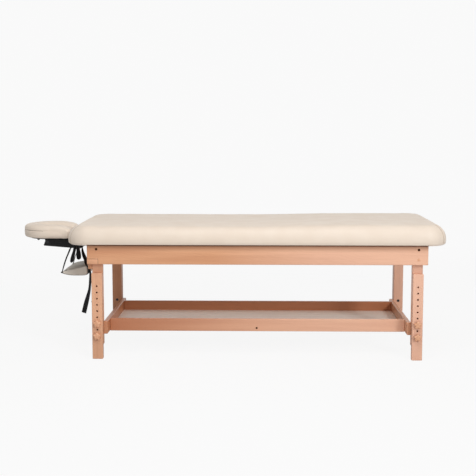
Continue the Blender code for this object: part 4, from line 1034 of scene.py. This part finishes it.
# Shares of the pad's width, from its head edge, and of its height: first along its underside and
# up its foot side, where the straps lie, and then back over its top
PAD_STRAPPED_SHARES = (
    (0.000, 0.27), (0.015, 0.19), (0.075, 0.13), (0.23, 0.05), (0.42, 0.005), (0.68, 0.00), (0.88, 0.02),
    (0.965, 0.08), (1.00, 0.19), (1.00, 0.56), (0.985, 0.68), (0.955, 0.77),
)
PAD_TOP_SHARES = (
    (0.91, 0.80), (0.85, 0.78), (0.79, 0.735), (0.73, 0.69), (0.64, 0.63), (0.49, 0.55), (0.30, 0.47),
    (0.15, 0.40), (0.04, 0.345),
)
# Shares of the pad's half length, and of its section's size there
PAD_END_SHARES = ((0.91, 1.00), (0.94, 0.985), (0.97, 0.955), (0.99, 0.91), (1.00, 0.85), (1.00, 0.55))
PAD_HEIGHT = 0.060
PAD_CROWN = 0.004
PAD_SWELL = 0.0010
PAD_HEAD_BULGE = 0.0035
PAD_STATIONS = 30
PAD_SMOOTHNESS = 4
grey_vinyl = vinyl("grey_vinyl", (0.760, 0.705, 0.625, 1), (0.660, 0.610, 0.530, 1), 0.56)
pad_low, pad_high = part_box("sling_pad")
pad_half_length = (pad_high[1] - pad_low[1]) / 2
pad_head_edge = pad_low[0] - PAD_HEAD_BULGE


def pad_point(across_share, height_share):
    """A point of the pad's section as (x, z)."""
    return Vector((pad_head_edge + (pad_high[0] - pad_head_edge) * across_share,
                   pad_low[2] + PAD_HEIGHT * height_share))


strapped = smooth_path([pad_point(*shares) for shares in PAD_STRAPPED_SHARES], PAD_SMOOTHNESS)
pad_middle = (pad_point(0, 0) + pad_point(1, 0.8)) / 2
pad_course = [(-share, size) for share, size in reversed(PAD_END_SHARES)]
pad_course += [(PAD_END_SHARES[0][0] * (2 * i / PAD_STATIONS - 1), 1) for i in range(1, PAD_STATIONS)]
pad_course += PAD_END_SHARES
pad_rings = []
for share, size in pad_course:
    lift = Vector((0, PAD_CROWN * (1 - share ** 2) - PAD_SWELL))
    top_points = [pad_point(*shares) + lift for shares in PAD_TOP_SHARES]
    over = smooth_path([strapped[-1], *top_points, strapped[0]], PAD_SMOOTHNESS)
    pad_rings.append([(point.x, pad_half_length * share, point.y)
                      for point in (pad_middle.lerp(spot, size) for spot in strapped + over[1:-1])])
sling_pad = make("arm_pad", skin(pad_rings), grey_vinyl, "headrest_base",
                 ["sling_pad"], 60)
section_size = len(pad_rings[0])
still = [index for index in range(len(pad_rings) * section_size)
         if index % section_size < len(strapped)]
puff(sling_pad, still, pressure=2.0, cap=0.003, slack=0.01)
round_off(sling_pad)

# The straps: woven black polypropylene webbing, 25 mm wide. Each is stitched in a loop on the
# hinge rod, and its loose end hangs from the buckle, cut straight and sealed with heat.
WEBBING_BLACK = (0.0055, 0.0055, 0.0062, 1)
WEBBING_SHEEN_AND_WEAR = (0.022, 0.022, 0.024, 1)
WEAVE_PITCH = 0.0016
webbing, web_shader, web_point = finish("black_webbing", 0.8)
web_shader["Specular IOR Level"].default_value = 0.2
run = web_point.node("Attribute", {"attribute_name": "along"}, None, "Fac")
side_to_side = web_point.node("Attribute", {"attribute_name": "across"}, None, "Fac")
warp = (run * (math.pi / WEAVE_PITCH)).math('SINE')
weft = (side_to_side * (math.pi / WEAVE_PITCH * 1.3)).math('SINE')
weave = warp * weft * 0.5 + 0.5
# The weave's crests take the lighter colour as painted sheen; the cloudy patches are wear.
tone_shift = weave * 0.6 + web_point.clouds(scale=90, detail=3) * 0.2
tone_shift.blend(WEBBING_BLACK, WEBBING_SHEEN_AND_WEAR).feed(web_shader["Base Color"])
weave.bump(0.5, 0.0004).feed(web_shader["Normal"])

STRAP_WIDTH = 0.025
STRAP_THICKNESS = 0.0018
STRAP_CLEARANCE = 0.0003
STRAP_LANES = 6
STRAP_TWIST = math.radians(38)
HINGE_ROD_RADIUS = 0.004
ROD_TURN_STEPS = 24
STRAP_SMOOTHNESS = 8
TAIL_SMOOTHNESS = 5
LOOP_TAIL = 0.014
CROSSBAR_EASE = 0.003
STRAP_SINK = 0.0006
# The straps' ways down to the pad, as shares of the distance across, of the drop and of the twist
FRONT_STRAP_SHARES = (
    (0.27, 0.10, -0.2), (0.42, 0.25, -0.2), (0.66, 0.50, -0.15), (0.85, 0.75, -0.1), (0.96, 0.92, 0.0),
)
REAR_STRAP_SHARES = (
    (0.00, 0.10, 0.2), (0.12, 0.28, 0.5), (0.38, 0.47, 0.8), (0.70, 0.66, 0.8), (0.76, 0.84, 0.5),
)
# The loose end's way down from the buckle, as shares of its sway, its drop and its twist
TAIL_ROUTE_SHARES = (
    (0.00, 0.00, 0.00), (0.00, 0.04, 0.20), (0.02, 0.12, 0.45), (0.00, 0.25, 0.50), (-0.08, 0.44, 0.50),
    (-0.18, 0.56, 0.62), (-0.45, 0.78, 0.95), (-0.70, 1.00, 1.00),
)
TAIL_DROP = 0.226
TAIL_SWAY = 0.050
TAIL_TWIST = math.radians(72)
crossbar_low, crossbar_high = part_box("headrest_crossbar")
gap = STRAP_CLEARANCE + STRAP_THICKNESS / 2


def way(start, end, shares):
    """A smooth path of (x, z, turn) between two (x, z) points by way of shares of the distance."""
    route = smooth_path([(0, 0, 0), *shares, (1, 1, 0)], STRAP_SMOOTHNESS)
    return [Vector((start.x + (end.x - start.x) * across, start.y + (end.y - start.y) * drop, turn))
            for across, drop, turn in route]


def headings(points):
    """The directions of the runs before and after each of a path's (x, z) points."""
    runs = [(after - before).normalized() for before, after in zip(points, points[1:])]
    return list(zip([runs[0], *runs], [*runs, runs[-1]]))


def band(name, path, y, twist, replaces):
    """A band of webbing along (x, z, turn) points, turned about its own run, and its middle line."""
    shape = bmesh.new()
    along = shape.verts.layers.float.new("along")
    across = shape.verts.layers.float.new("across")
    flat = [point.to_2d() for point in path]
    middle_line = [Vector((point.x, y, point.y)) for point in path]
    travelled = 0
    rings = []
    for number, (before, after) in enumerate(headings(flat)):
        if number:
            travelled += (flat[number] - flat[number - 1]).length
        heading = (before + after).normalized()
        normal = Vector((-heading.y, 0, heading.x))
        turn = twist * path[number].z
        wide = Vector((0, math.cos(turn), 0)) + normal * math.sin(turn)
        thick = (normal * math.cos(turn) - Vector((0, math.sin(turn), 0))) / (2 * heading.dot(after))
        ring = []
        for sign in (1, -1):
            for lane in range(STRAP_LANES + 1):
                share = sign * (0.5 - lane / STRAP_LANES)
                thickness = STRAP_THICKNESS * (1 if abs(share) < 0.45 else 0.55)
                spot = middle_line[number] + wide * STRAP_WIDTH * share + thick * sign * thickness
                vertex = shape.verts.new(spot)
                vertex[along] = travelled
                vertex[across] = share * STRAP_WIDTH
                ring.append(vertex)
        rings.append(ring)
    join(shape, rings)
    shape.faces.new(rings[0])
    shape.faces.new(rings[-1])
    piece = make(name, shape, webbing, "headrest_base", replaces, 50)
    return piece, middle_line


loop_radius = HINGE_ROD_RADIUS + gap
rod_turn = []
for i in range(ROD_TURN_STEPS + 1):
    angle = math.pi * i / ROD_TURN_STEPS
    rod_turn.append(rod_middle + loop_radius * Vector((math.cos(angle), math.sin(angle))))
round_pad = []
for point, (before, after) in zip(strapped, headings(strapped)):
    heading = (before + after).normalized()
    round_pad.append(point - Vector((heading.y, -heading.x)) * STRAP_SINK / heading.dot(after))
seat_x = crossbar_high[0] + gap
strap_line = [point.to_3d() for point in [rod_turn[0] - Vector((0, LOOP_TAIL)), *rod_turn]]
strap_line += way(rod_turn[-1] - Vector((0, loop_radius)), round_pad[0], FRONT_STRAP_SHARES)
strap_line += [point.to_3d() for point in round_pad[1:-1]]
crossbar_foot = Vector((seat_x, crossbar_low[2] + CROSSBAR_EASE))
strap_line += reversed(way(crossbar_foot, round_pad[-1], REAR_STRAP_SHARES))
strap_line.append(Vector((seat_x, crossbar_high[2] - CROSSBAR_EASE, 0)))
for side, sign in SIDES.items():
    low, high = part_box("strap_buckle_" + side)
    y = centre_of("strap_buckle_" + side)[1]
    band("webbing_loop_" + side, strap_line, y, sign * STRAP_TWIST, ["sling_strap_" + side])
    tail_line = [Vector((high[0] + gap + TAIL_SWAY * sway, high[2] - TAIL_DROP * drop, turn))
                 for sway, drop, turn in smooth_path(TAIL_ROUTE_SHARES, TAIL_SMOOTHNESS)]
    tail, middle_line = band("webbing_end_" + side, tail_line, y, sign * TAIL_TWIST,
                             ["strap_end_" + side])

# Strap keepers: a black plastic rod is stitched in each strap where it turns under the pad's edge.
KEEPER_RADIUS = 0.0036
KEEPER_OVERHANG = 0.0015
KEEPER_EASES = ((0, 0.0010), (0.0004, 0.0003), (0.0012, 0))
KEEPER_SETBACK = 0.0010
KEEPER_HEIGHT_SHARE = 0.25
keeper = pad_point(0, KEEPER_HEIGHT_SHARE) - Vector((KEEPER_SETBACK, 0))
reach = STRAP_WIDTH / 2 + KEEPER_OVERHANG
for side in SIDES:
    y = centre_of("strap_buckle_" + side)[1]
    profile = rod_profile(2 * reach, KEEPER_RADIUS, KEEPER_EASES)
    rod = turned((keeper.x, y - reach, keeper.y), (keeper.x, y + reach, keeper.y), profile)
    make("strap_keeper_" + side, rod, black_plastic, "headrest_base")
